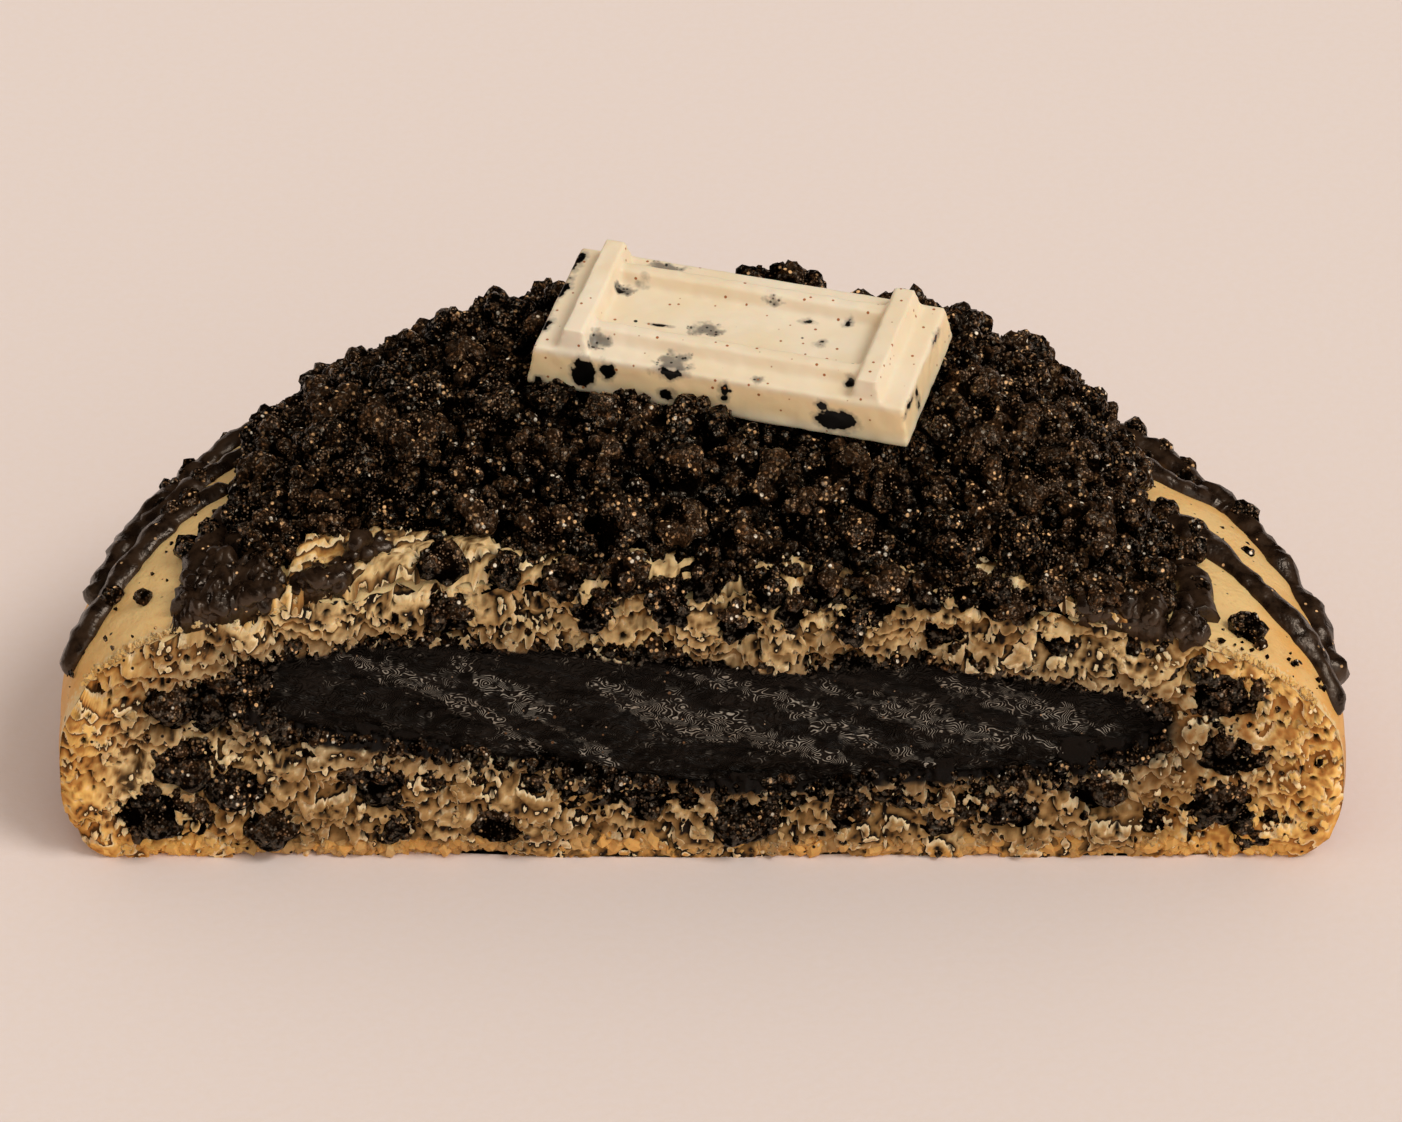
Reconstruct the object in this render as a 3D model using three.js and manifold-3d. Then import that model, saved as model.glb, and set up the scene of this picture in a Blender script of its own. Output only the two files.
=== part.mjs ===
// Half of a round stuffed cookie, cut upright so that its chocolate filling shows.
// Millimetres, +Z up. X runs along the cut, the cut face looks along -Y, and the origin is in
// the middle of the flat base, on the surface that the cookie stands on.
import * as THREE from "three";
import { mergeVertices } from "three/addons/utils/BufferGeometryUtils.js";
import Module from "manifold-3d";

const wasm = await Module();
wasm.setup();

// ---- Driving dimensions ----
const RADIUS = 55.4; // the whole cookie at its widest
const CUT_OFFSET = 5; // the cut runs this far in front of the cookie's middle
const BASE_RADIUS = 50.7; // the flat foot
const WIDEST_Z = 6.6; // height of the widest level
const CROWN = 21.2; // from the widest level to the top of the dough
const SHOULDER = 2.8; // power of the dome's superellipse: 2 is round, more is squarer
const LEAN = 0.035; // the top falls this much for each millimetre to the right
const DENT = 1.1; // depth of the soft dents in its top
const DENT_SPACING = 13; // between them

const FILLING_RADIUS = 40; // the lens of filling, seen from above
const FILLING_HALF = 6.2; // half its thickness
const FILLING_Z = 13.6; // its middle height
const FILLING_RISE = 3.2; // how much higher it lies at its left end
const FILLING_POWER = 2.6;

const HEAP_HALF_WIDTH = 39.4; // the heap of crumbs, seen from above
const HEAP_BACK = 43; // how far behind the cookie's middle it reaches
const HEAP_MIDDLE = -1.9; // its middle lies this far along X
const HEAP_CORNERS = [2.4, 6]; // power of its outline's superellipse, at the left and the right
const HEAP_DEPTH = 7.0; // over the middle of the dough, up to the hollows between its clumps
const HEAP_RIM_DEPTH = 0.9; // the same at the heap's rim
const HEAP_RISE = 15; // how far in from the rim the heap reaches its full depth
const HEAP_BANK = 0.5; // how much deeper it is to the right of the tile
const SETBACK_LEFT = 6; // how far behind the cut it ends at the left
const SETBACK_RIGHT = 1.5; // and at the right
const TILE_MARGIN = 1; // the crumbs stay below the tile's underside this far out from it
const TILE_BANK = 1.4; // and then rise this steeply
const CLUMP_SPACING = 6.0; // between neighbouring clumps of crumbs
const CLUMP_RADIUS = 2.1; // of a clump at two thirds of its height
const CLUMP_HEIGHT = 2.6; // how far a clump stands out of the hollows
const CLUMP_COLUMNS = 16; // in a row of clumps
const CLUMP_ROWS = 12;
const ROW_STEP = Math.sqrt(3) / 2; // between two rows, as a share of the spacing

const TILE_LENGTH = 33.9; // the white chocolate piece
const TILE_WIDTH = 15.4;
const TILE_SLAB = 3.7; // thickness without its raised frame
const TILE_DRAFT = 0.6; // how far its sides lean in
const SIDE_BAR = [3.0, TILE_WIDTH - 1.4, 1.9]; // the raised bars across its ends
const SIDE_BAR_INSET = 4.0; // from an end of the tile to the middle of a bar
const LONG_BAR = [TILE_LENGTH - 8, 2.4, 1.2]; // the lower ones between them
const LONG_BAR_INSET = 3.6; // from a long side of the tile to the middle of a bar
const BAR_DRAFT = 0.6; // how far the bars' sides lean in
const TILE_PLACE = [3.5, -8.0, 36.2]; // middle of its underside
const TILE_TURN = [8, 1.2, -16.2]; // tilt about X, about Y, then yaw, in degrees

const CLEARANCE = 0.3; // between solids that lie against each other
const CRAG = 1.5; // height of the crumb's relief on the cut face
const SWIRL = 0.9; // height of the smears on the filling's face
const CELL = 2.9; // grid of the two reliefs

const DEPTH = RADIUS + CUT_OFFSET;
const CUT_Y = -DEPTH / 2;
const CENTRE_Y = CUT_Y + CUT_OFFSET;
const TOP_Z = WIDEST_Z + CROWN;

// The dough's baked-in cookie pieces that the cut shows:
// middle along X, middle height, width and height.
const CHUNKS = [
  [-45.2, 15.3, 4.8, 4.6],
  [-40.6, 16.3, 5.4, 4.6],
  [-44.0, 9.5, 4.8, 4.6],
  [-39.4, 7.0, 5.0, 4.6],
  [-47.0, 4.3, 6.2, 4.4],
  [-37.0, 2.8, 5.0, 3.4],
  [-27.4, 7.5, 4.6, 4.2],
  [-21.1, 24.7, 4.2, 3.6],
  [-17.6, 3.0, 4.8, 4.4],
  [3.6, 3.5, 5.2, 4.8],
  [26.8, 4.7, 5.4, 5.2],
  [34.2, 6.7, 4.6, 3.8],
  [44.2, 16.9, 5.4, 4.8],
  [44.9, 11.0, 4.8, 4.8],
  [44.6, 5.7, 5.2, 4.2],
];

// Stripes of chocolate, each from [bearing, distance from the middle] to the same at its tip,
// and its radius. Bearings are in degrees from +X; distance 1 is the widest level.
const STRIPES = [
  [[134, 0.84], [173, 0.945], 1.5],
  [[150, 0.8], [168, 0.93], 1.3],
  [[160, 0.775], [181.5, 0.975], 1.5],
  [[166, 0.742], [185.5, 0.78], 1.7],
  [[168, 0.705], [188, 0.715], 1.6],
  [[43, 0.88], [3, 0.985], 1.7],
  [[33, 0.79], [24.5, 0.93], 1.4],
  [[20, 0.73], [-3.5, 0.985], 1.5],
  [[16, 0.7], [-4.5, 0.69], 1.5],
  [[12, 0.745], [-3, 0.77], 1.5],
  [[70, 0.8], [44, 0.96], 1.4],
  [[93, 0.8], [70, 0.96], 1.3],
  [[116, 0.8], [97, 0.97], 1.4],
];

// Clumps that chocolate holds at the cut's upper edge: place along X, height and radius.
const RIM_CLUMPS = [
  [-42.4, 24.4, 2.2],
  [-38.2, 26.0, 2.5],
  [-31.0, 27.0, 2.0],
  [36.4, 25.2, 1.7],
  [46.4, 21.0, 1.8],
];

// ---- Small tools ----
function seeded(seed) {
  let state = seed >>> 0;
  return () => {
    state = (Math.imul(state, 1664525) + 1013904223) >>> 0;
    return state / 2 ** 32;
  };
}

function hash(i, j, k) {
  let h = Math.imul(i, 374761393) ^ Math.imul(j, 668265263) ^ Math.imul(k, 2147483647);
  h = Math.imul(h ^ (h >>> 13), 1274126177);
  return ((h ^ (h >>> 16)) >>> 0) / 2 ** 32;
}

// Smooth noise from 0 to 1 on a unit lattice.
function noise(x, y, seed) {
  const i = Math.floor(x);
  const j = Math.floor(y);
  const ease = (t) => t * t * (3 - 2 * t);
  const u = ease(x - i);
  const low = THREE.MathUtils.lerp(hash(i, j, seed), hash(i + 1, j, seed), u);
  const high = THREE.MathUtils.lerp(hash(i, j + 1, seed), hash(i + 1, j + 1, seed), u);
  return THREE.MathUtils.lerp(low, high, ease(y - j));
}

// A closed geometry as a manifold-3d solid, with its faces pointing out.
function solidOf(geometry) {
  const bare = new THREE.BufferGeometry().setAttribute("position", geometry.getAttribute("position"));
  bare.setIndex(geometry.index);
  const merged = mergeVertices(bare, 1e-3);
  const vertProperties = new Float32Array(merged.attributes.position.array);
  const corners = Array.from(merged.index.array);
  const make = (order) => {
    const triVerts = new Uint32Array(corners.map((_, n) => corners[n - (n % 3) + order[n % 3]]));
    return new wasm.Manifold(new wasm.Mesh({ numProp: 3, vertProperties, triVerts }));
  };
  const solid = make([0, 1, 2]);
  return solid.volume() > 0 ? solid : make([0, 2, 1]);
}

// Moves every vertex of a geometry by a function of its place.
function reshape(geometry, move) {
  const place = geometry.getAttribute("position");
  const v = new THREE.Vector3();
  for (let i = 0; i < place.count; i++) {
    move(v.fromBufferAttribute(place, i));
    place.setXYZ(i, v.x, v.y, v.z);
  }
  return geometry;
}

// The largest piece of a solid: sealed hollows are filled and loose scraps dropped.
function largest(solid) {
  return solid.decompose().reduce((best, piece) => (piece.volume() > best.volume() ? piece : best));
}

const join = (solids) => solids.reduce((whole, solid) => whole.add(solid));

// A turned solid about the cookie's upright middle line, from [radius, height] points.
function turned(points, segments) {
  const profile = points.map(([r, z]) => new THREE.Vector2(r, z));
  const geometry = new THREE.LatheGeometry(profile, segments);
  return geometry.rotateX(Math.PI / 2).translate(0, CENTRE_Y, 0);
}

// ---- The dough's outer form ----
// The outline seen from above isn't quite round.
function roundness(x, y) {
  const bearing = Math.atan2(y - CENTRE_Y, x);
  return 1 + 0.006 * Math.sin(3 * bearing + 0.7) + 0.004 * Math.sin(7 * bearing);
}

// How far the surface stands above the even dome: a lean to the right and soft dents.
function lift(x, y) {
  return -LEAN * x + DENT * (noise(x / DENT_SPACING + 5, y / DENT_SPACING + 5, 11) - 0.5);
}

// Height of the top of the dough above a place in the plan.
function domeHeight(x, y) {
  const share = Math.min(1, Math.hypot(x, y - CENTRE_Y) / (RADIUS * roundness(x, y)));
  const even = WIDEST_Z + CROWN * (1 - share ** SHOULDER) ** (1 / SHOULDER);
  return even + (lift(x, y) * even) / TOP_Z;
}

// A point on the dough's surface: a share of 0 is the middle, and 1 the widest level.
function domePoint(bearing, share, proud) {
  const a = THREE.MathUtils.degToRad(bearing);
  const slope = Math.atan2(CROWN * share ** (SHOULDER - 1), RADIUS * (1 - share ** SHOULDER));
  const r = RADIUS * share + proud * Math.sin(slope);
  const x = r * Math.cos(a);
  const y = CENTRE_Y + r * Math.sin(a);
  const even = WIDEST_Z + CROWN * (1 - share ** SHOULDER) ** (1 / SHOULDER);
  return new THREE.Vector3(x, y, even + (lift(x, y) * even) / TOP_Z + proud * Math.cos(slope));
}

// The whole domed cookie, grown by a gap where a neighbour has to stay clear of it.
function domeSolid(gap) {
  const points = [[0, -gap]];
  const corners = 4;
  for (let i = 0; i <= corners; i++) {
    const a = ((i / corners) * Math.PI) / 2;
    const r = BASE_RADIUS + (RADIUS - BASE_RADIUS) * Math.sin(a);
    points.push([r + gap * Math.sin(a), WIDEST_Z * (1 - Math.cos(a)) - gap * Math.cos(a)]);
  }
  const steps = 10;
  for (let i = 1; i <= steps; i++) {
    const a = ((i / steps) * Math.PI) / 2;
    const r = RADIUS * Math.cos(a) ** (2 / SHOULDER);
    const z = WIDEST_Z + CROWN * Math.sin(a) ** (2 / SHOULDER);
    points.push([i === steps ? 0 : r + gap * Math.cos(a), z + gap * Math.sin(a)]);
  }
  return solidOf(
    reshape(turned(points, 44), (v) => {
      const round = roundness(v.x, v.y);
      v.x *= round;
      v.y = CENTRE_Y + (v.y - CENTRE_Y) * round;
      v.z += (lift(v.x, v.y) * Math.max(0, v.z)) / TOP_Z;
    }),
  );
}

// ---- The two cut faces ----
// A block in front of the cut, whose back face has a relief, to take away what was cut off.
function cutter(relief, cell, forward) {
  const [wide, thick, tall] = [124, 48, 56];
  const box = new THREE.BoxGeometry(wide, thick, tall, Math.round(wide / cell), 1, Math.round(tall / cell));
  return solidOf(
    reshape(box.translate(0, 0, tall / 2 - 4), (v) => {
      const face = v.y > 0 ? relief(v.x, v.z) : 0;
      v.y += CUT_Y - thick / 2 - forward + face;
    }),
  );
}

// Torn crumb: clods of about 3 mm with hollows between them.
function crumbRelief(x, z) {
  const clods = noise(x / 2.9, z / 2.5, 21);
  const waves = noise(x / 8, z / 7, 22);
  return CRAG * (0.7 * clods + 0.3 * waves - 0.5);
}

// Smears that the knife left, slanting down to the right.
function fillingRelief(x, z) {
  const along = x + 0.5 * z;
  const across = z + 0.32 * x;
  return SWIRL * (noise(along / 14, across / 2.1, 31) - 0.5);
}

// ---- The filling ----
function fillingBody(gap) {
  const points = [];
  const steps = 8;
  for (let i = 0; i <= steps; i++) {
    const a = (i / steps - 0.5) * Math.PI;
    const r = FILLING_RADIUS * Math.max(0, Math.cos(a)) ** (2 / FILLING_POWER);
    const z = FILLING_HALF * Math.sign(a) * Math.abs(Math.sin(a)) ** (2 / FILLING_POWER);
    const end = i === 0 || i === steps;
    points.push([end ? 0 : r + gap * Math.cos(a), z + gap * Math.sin(a)]);
  }
  return solidOf(
    reshape(turned(points, 36), (v) => {
      const rise = THREE.MathUtils.smoothstep(-v.x, -4, 30) * FILLING_RISE;
      v.z += FILLING_Z + rise + 1.3 * (noise(v.x / 9 + 3, v.y / 9, 41) - 0.5);
    }),
  );
}

// ---- Crumbs, chunks and clumps: rough little bodies with flat facets ----
function lump([x, y, z], [rx, ry, rz], seed, detail) {
  const rough = new THREE.IcosahedronGeometry(1, detail);
  return solidOf(
    reshape(rough, (v) => {
      const bump = 1 + 0.34 * (noise(v.x * 2.4 + 9, v.y * 2.4 + v.z * 3.1 + 9, seed) - 0.5);
      v.set(x + v.x * rx * bump, y + v.y * ry * bump, z + v.z * rz * bump);
    }),
  );
}

// A baked-in piece stands a little proud of the torn crumb round it.
function chunk([x, z, wide, tall], index, gap) {
  const half = wide / 2 + gap;
  return lump([x, CUT_Y + 0.25 * wide, z], [half, half, tall / 2 + gap], 50 + index, 0);
}

function rimClump([x, z, r], gap) {
  return lump([x, CUT_Y + 0.6, z], [r + gap, r + gap, r + gap], 90, 0);
}

// ---- Chocolate stripes on the crust ----
// A capsule that is bent along the crust and swells a little here and there.
function stripe([from, to, radius], gap) {
  const path = [];
  for (let t = 0; t <= 1; t += 1 / 8) {
    const bearing = THREE.MathUtils.lerp(from[0], to[0], t) + 1.2 * Math.sin(7 * t + from[0]);
    path.push(domePoint(bearing, THREE.MathUtils.lerp(from[1], to[1], t ** 0.8), 0));
  }
  const curve = new THREE.CatmullRomCurve3(path);
  const length = curve.getLength();
  const capsule = new THREE.CapsuleGeometry(radius + gap, length, 2, 6, Math.round(length / 5));
  return solidOf(
    reshape(capsule, (v) => {
      const t = THREE.MathUtils.clamp(v.y / length + 0.5, 0, 1);
      const swell = 1 + 0.16 * Math.sin(19 * t + from[0]);
      const ahead = curve.getTangentAt(t);
      const side = new THREE.Vector3(0, 0, 1).cross(ahead).normalize();
      const up = ahead.clone().cross(side);
      const beyond = v.y - (t - 0.5) * length;
      const [across, over] = [v.x * swell, v.z * swell];
      v.copy(curve.getPointAt(t)).addScaledVector(ahead, beyond);
      v.addScaledVector(side, across).addScaledVector(up, over);
    }),
  );
}

// ---- The heap of crumbs ----
// How far inside the heap's outline a place in the plan lies. In front the heap ends at the cut,
// or a little behind it.
function heapInside(x, y) {
  const aside = x - HEAP_MIDDLE;
  const behind = Math.max(0, y - CENTRE_Y);
  const bearing = Math.atan2(behind, aside);
  const power = HEAP_CORNERS[aside < 0 ? 0 : 1];
  const sum = Math.abs(aside / HEAP_HALF_WIDTH) ** power + (behind / HEAP_BACK) ** power;
  const uneven = 1.2 * Math.sin(3 * bearing + 1) + 0.9 * Math.sin(8 * bearing);
  const left = SETBACK_LEFT * THREE.MathUtils.smoothstep(-x, 13, 26);
  const right = SETBACK_RIGHT * THREE.MathUtils.smoothstep(x, 13, 18);
  const inside = HEAP_BACK * (1 - sum ** (1 / power)) + uneven;
  return Math.min(inside, y - CUT_Y - left - right + 1);
}

// Depth of the heap over the dough, without its clumps. It evens out the dough's lean.
function heapDepth(x, y) {
  const rise = Math.sin((Math.PI / 2) * THREE.MathUtils.clamp(heapInside(x, y) / HEAP_RISE, 0, 1));
  const bank = HEAP_BANK * THREE.MathUtils.smoothstep(x, 8, 26);
  const deep = HEAP_DEPTH + LEAN * (x + y - CENTRE_Y) + bank;
  return HEAP_RIM_DEPTH + (deep - HEAP_RIM_DEPTH) * rise;
}

// The greatest height of the crumbs near the tile: they hold it up, and rise again away from its
// front and its ends.
function heapLimit(x, y) {
  const [tiltX, tiltY, yaw] = TILE_TURN.map(THREE.MathUtils.degToRad);
  const local = new THREE.Vector2(x - TILE_PLACE[0], y - TILE_PLACE[1]);
  local.rotateAround(new THREE.Vector2(), -yaw);
  if (local.y > TILE_WIDTH / 2) return Infinity;
  const underside = TILE_PLACE[2] + local.y * Math.tan(tiltX) - local.x * Math.tan(tiltY);
  const beyond = Math.max(Math.abs(local.x) - TILE_LENGTH / 2, -local.y - TILE_WIDTH / 2);
  return underside + TILE_BANK * Math.max(0, beyond - TILE_MARGIN);
}

// The heap as one block that reaches down into the dough. Each clump takes four by four of the
// block's upper corners: its tip, the eight round it, and the hollow to its right and behind it.
// Every second row is shifted by half a clump, and the hollow between two rows by a quarter.
function heapBlock() {
  const [wide, deep, floor] = [4 * CLUMP_COLUMNS, 4 * CLUMP_ROWS, 1.5];
  const block = new THREE.BoxGeometry(wide, deep, 2, wide, deep, 1);
  block.translate(wide / 2, deep / 2, floor);
  return solidOf(
    reshape(block, (v) => {
      const [column, row] = [Math.floor((v.x + 1) / 4), Math.floor((v.y + 1) / 4)];
      const [right, back] = [v.x - 4 * column, v.y - 4 * row];
      const hollow = right === 2 || back === 2;
      const size = 0.75 + 0.4 * hash(row, column, 61);
      const jitter = (seed) => (hollow ? 0 : 0.2 * (hash(row, column, seed) - 0.5));
      const ring = (CLUMP_RADIUS * size) / Math.max(1, Math.hypot(right, back));
      const reach = (steps) => (steps === 2 ? CLUMP_SPACING / 2 : steps * ring);
      const shift = back === 2 ? 0.25 : (row % 2) / 2;
      v.x = (column + shift - CLUMP_COLUMNS / 2 + jitter(62)) * CLUMP_SPACING + reach(right);
      v.y = CUT_Y + 1 + ROW_STEP * ((row + jitter(63)) * CLUMP_SPACING + reach(back));
      if (v.z < floor) return;
      const inside = heapInside(v.x, v.y);
      const share = hollow ? 0.15 * hash(column, row, 64) : right || back ? 0.65 : 1;
      const bump = CLUMP_HEIGHT * size * share * THREE.MathUtils.clamp(inside / 4, 0.2, 1);
      v.z = domeHeight(v.x, v.y) + (inside < 0 ? Math.max(-3, inside) : heapDepth(v.x, v.y) + bump);
      v.z = Math.min(v.z, heapLimit(v.x, v.y));
    }),
  );
}

// Loose clumps round the heap's rim, and a ragged row that hangs over the middle of the cut.
function clumps() {
  const random = seeded(5);
  const between = (low, high) => low + (high - low) * random();
  const made = [];
  const add = (x, y, z, r) => {
    made.push(lump([x, y, z], [r, r * between(0.85, 1.1), r * between(0.85, 1)], made.length, 0));
  };
  for (let bearing = -2; bearing < 176; bearing += between(8, 13)) {
    const a = THREE.MathUtils.degToRad(bearing);
    const place = (r) => [r * Math.cos(a), CENTRE_Y + r * Math.sin(a)];
    const rim = HEAP_BACK + heapInside(...place(HEAP_BACK)) + between(-1.6, 0.6);
    const [x, y] = place(rim);
    if (y > CUT_Y + 3) add(x, y, domeHeight(x, y) + between(0.2, 1.2), between(2, 2.6));
  }
  for (let x = -12; x < 33; x += between(4.2, 5.2)) {
    const r = between(2, 2.6);
    const edge = domeHeight(x, CUT_Y);
    add(x, CUT_Y + between(0, 0.8), edge + between(-0.4, 0.6), r);
    const low = random() < 0.75 && x < 14;
    if (low) add(x + between(-1, 1), CUT_Y - 0.5, edge - between(1.6, 2.6), r * 0.85);
  }
  return made;
}

// ---- The white chocolate tile ----
// A block on its own base, with sides that lean in.
function draftedBlock([wide, deep, tall], [x, y, z], draft) {
  const box = new THREE.BoxGeometry(wide, deep, tall).translate(x, y, z + tall / 2);
  return solidOf(
    reshape(box, (v) => {
      if (v.z < z + tall / 2) return;
      v.x -= Math.sign(v.x - x) * draft;
      v.y -= Math.sign(v.y - y) * draft;
    }),
  );
}

function tileBody(gap) {
  const slab = [TILE_LENGTH + 2 * gap, TILE_WIDTH + 2 * gap, TILE_SLAB + 2 * gap];
  const parts = [draftedBlock(slab, [0, 0, -gap], TILE_DRAFT)];
  const sink = 0.5; // how far the bars reach into the slab
  const bar = ([wide, deep, tall], x, y) =>
    draftedBlock([wide, deep, tall + sink], [x, y, TILE_SLAB - sink], BAR_DRAFT);
  for (const side of [-1, 1]) {
    parts.push(bar(SIDE_BAR, side * (TILE_LENGTH / 2 - SIDE_BAR_INSET), 0));
    parts.push(bar(LONG_BAR, 0, side * (TILE_WIDTH / 2 - LONG_BAR_INSET)));
  }
  return join(parts);
}

function placedTile(gap) {
  const [tiltX, tiltY, yaw] = TILE_TURN;
  return tileBody(gap).rotate([tiltX, tiltY, yaw]).translate(TILE_PLACE);
}

// ---- Putting the solids together ----
function doughSolid() {
  const dome = domeSolid(0).subtract(cutter(crumbRelief, CELL, 0));
  const stripes = STRIPES.map((s) => stripe(s, 0));
  const hollows = CHUNKS.map((c, i) => chunk(c, i, CLEARANCE));
  return join([dome, ...stripes, ...RIM_CLUMPS.map((c) => rimClump(c, 0))])
    .subtract(fillingBody(CLEARANCE))
    .subtract(join(hollows));
}

function fillingSolid() {
  return fillingBody(0).subtract(cutter(fillingRelief, CELL, 0.2));
}

function chunkSolid(place, index) {
  return chunk(place, index, 0).subtract(fillingBody(CLEARANCE));
}

function toppingSolid() {
  const heap = heapBlock().subtract(cutter(() => 0.6, 60, 0));
  const neighbours = [
    domeSolid(CLEARANCE).subtract(cutter(crumbRelief, CELL, CLEARANCE)),
    ...STRIPES.map((s) => stripe(s, CLEARANCE)),
    ...RIM_CLUMPS.map((c) => rimClump(c, CLEARANCE)),
    ...CHUNKS.map((c, i) => chunk(c, i, CLEARANCE)),
    placedTile(CLEARANCE),
  ];
  return join([heap, ...clumps()]).subtract(join(neighbours));
}

// ---- The scene graph ----
function finish(color, roughness) {
  return new THREE.MeshStandardMaterial({ color, roughness, metalness: 0, flatShading: true });
}

function named(name, solid, material) {
  const made = largest(solid).getMesh();
  const geometry = new THREE.BufferGeometry();
  geometry.setAttribute("position", new THREE.BufferAttribute(made.vertProperties, 3));
  geometry.setIndex(new THREE.BufferAttribute(made.triVerts, 1));
  geometry.computeVertexNormals();
  const mesh = new THREE.Mesh(geometry, material);
  mesh.name = name;
  return mesh;
}

const cookie = new THREE.Group();
cookie.add(named("cookie_dough", doughSolid(), finish(0xd8ae6a, 0.75)));
cookie.add(named("chocolate_filling", fillingSolid(), finish(0x1d1510, 0.4)));
cookie.add(named("crumb_topping", toppingSolid(), finish(0x17100b, 0.85)));
cookie.add(named("white_tile", placedTile(0), finish(0xefdcb8, 0.4)));
const cocoa = finish(0x140e0a, 0.8);
CHUNKS.forEach((place, i) => {
  const name = `cookie_chunk_${String(i + 1).padStart(2, "0")}`;
  cookie.add(named(name, chunkSolid(place, i), cocoa));
});

export default cookie;
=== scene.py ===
"""Half of a stuffed cookie: baked dough with torn crumb on its cut face, a chocolate filling, a heap
of dark cookie crumbs, chocolate stripes and one segment of white chocolate."""

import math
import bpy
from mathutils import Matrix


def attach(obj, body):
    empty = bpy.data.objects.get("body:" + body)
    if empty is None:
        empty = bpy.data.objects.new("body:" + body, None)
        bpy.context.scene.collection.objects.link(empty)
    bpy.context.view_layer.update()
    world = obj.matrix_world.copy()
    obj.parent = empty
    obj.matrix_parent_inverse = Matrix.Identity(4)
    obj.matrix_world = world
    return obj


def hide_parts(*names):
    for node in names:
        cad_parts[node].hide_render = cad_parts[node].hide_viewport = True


bl_info = {
    "name": "Stuffed cookie half",
    "version": (1, 0, 0),
    "blender": (4, 5, 0),
    "location": "View3D > Sidebar > Cookie",
    "description": "Builds a cut stuffed cookie with its filling, crumbs and white chocolate",
    "category": "Object",
}

import bmesh
import bpy
import numpy as np
from bpy.props import FloatProperty, FloatVectorProperty, IntProperty, PointerProperty
from mathutils import Color, Euler, Vector

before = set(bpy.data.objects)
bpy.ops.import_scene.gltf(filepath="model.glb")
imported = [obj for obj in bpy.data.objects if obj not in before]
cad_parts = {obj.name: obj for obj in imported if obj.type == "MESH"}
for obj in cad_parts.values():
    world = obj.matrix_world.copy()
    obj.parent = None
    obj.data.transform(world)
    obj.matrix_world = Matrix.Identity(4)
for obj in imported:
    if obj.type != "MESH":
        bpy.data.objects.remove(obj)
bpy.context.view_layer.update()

# ---- The cookie's form, in millimetres, as the frame has it ----
# The middle of the round cookie lies at CENTRE_Y, a little behind the cut at CUT_Y.
RADIUS = 55.4
CUT_Y = -30.2
CENTRE_Y = -25.2
BASE_RADIUS = 50.7
WIDEST_Z = 6.6
RISE = 21.2
SHOULDER = 2.8
LEAN = 0.035
DENT = 1.1
DENT_SPACING = 13
TOP_Z = WIDEST_Z + RISE

FILLING_RADIUS = 40
FILLING_HALF = 6.2
FILLING_Z = 13.6
FILLING_RISE = 3.2
FILLING_POWER = 2.6

HEAP_HALF_WIDTH = 39.4
HEAP_BACK = 43
HEAP_MIDDLE = -1.9
HEAP_CORNERS = (2.4, 6)
HEAP_DEPTH = 7.0
HEAP_RIM_DEPTH = 0.9
HEAP_REACH = 15
HEAP_BANK = 0.5
SETBACK_LEFT = 6
SETBACK_RIGHT = 1.5
RIGHT_DIP = 0.9
TILE_MARGIN = 1
TILE_BANK = 1.4

TILE_SIZE = (33.9, 15.4, 3.7)
TILE_DRAFT = 0.6
TILE_PLACE = np.array([3.5, -8.0, 36.2])
TILE_TURN = [math.radians(a) for a in (8, 1.2, -16.2)]
TILE_MATRIX = np.array(Euler(TILE_TURN).to_matrix())

# Middle along X, middle height, width and height of the baked-in pieces on the cut.
CHUNKS = [
    (-45.2, 15.3, 4.8, 4.6),
    (-40.6, 16.3, 5.4, 4.6),
    (-44.0, 9.5, 4.8, 4.6),
    (-39.4, 7.0, 5.0, 4.6),
    (-47.0, 4.3, 6.2, 4.4),
    (-37.0, 2.8, 5.0, 3.4),
    (-27.4, 7.5, 4.6, 4.2),
    (-21.1, 24.7, 4.2, 3.6),
    (-17.6, 3.0, 4.8, 4.4),
    (3.6, 3.5, 5.2, 4.8),
    (26.8, 4.7, 5.4, 5.2),
    (34.2, 6.7, 4.6, 3.8),
    (44.2, 16.9, 5.4, 4.8),
    (44.9, 11.0, 4.8, 4.8),
    (44.6, 5.7, 5.2, 4.2),
]
SMALL_CHUNKS = [
    (-26.4, 3.1, 3.6, 3.6),
    (-11.6, 5.5, 3.2, 3.0),
    (-4.8, 5.0, 3.4, 2.8),
    (-3.0, 21.0, 4.2, 3.2),
    (12.9, 4.3, 3.6, 3.4),
    (30.3, 22.0, 3.6, 3.0),
    (48.2, 2.7, 3.6, 3.0),
    (36.6, 21.6, 2.2, 2.0),
    (-14.5, 22.6, 2.4, 1.8),
    (20.5, 3.0, 2.6, 2.2),
    (39.0, 3.2, 2.8, 2.2),
]

# Stripes of chocolate: bearing and share of the radius at the start and at the tip, and radius.
STRIPES = [
    ((134, 0.84), (173, 0.945), 1.5),
    ((150, 0.8), (168, 0.93), 1.3),
    ((160, 0.775), (181.5, 0.975), 1.5),
    ((166, 0.742), (185.5, 0.78), 1.7),
    ((168, 0.705), (188, 0.715), 1.6),
    ((43, 0.88), (3, 0.985), 1.8),
    ((33, 0.79), (24.5, 0.93), 1.4),
    ((20, 0.73), (-3.5, 0.985), 1.75),
    ((16, 0.7), (-4.5, 0.69), 1.5),
    ((12, 0.745), (-3, 0.77), 1.5),
    ((70, 0.8), (44, 0.96), 1.4),
    ((93, 0.8), (70, 0.96), 1.3),
    ((116, 0.8), (97, 0.97), 1.4),
]

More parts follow.
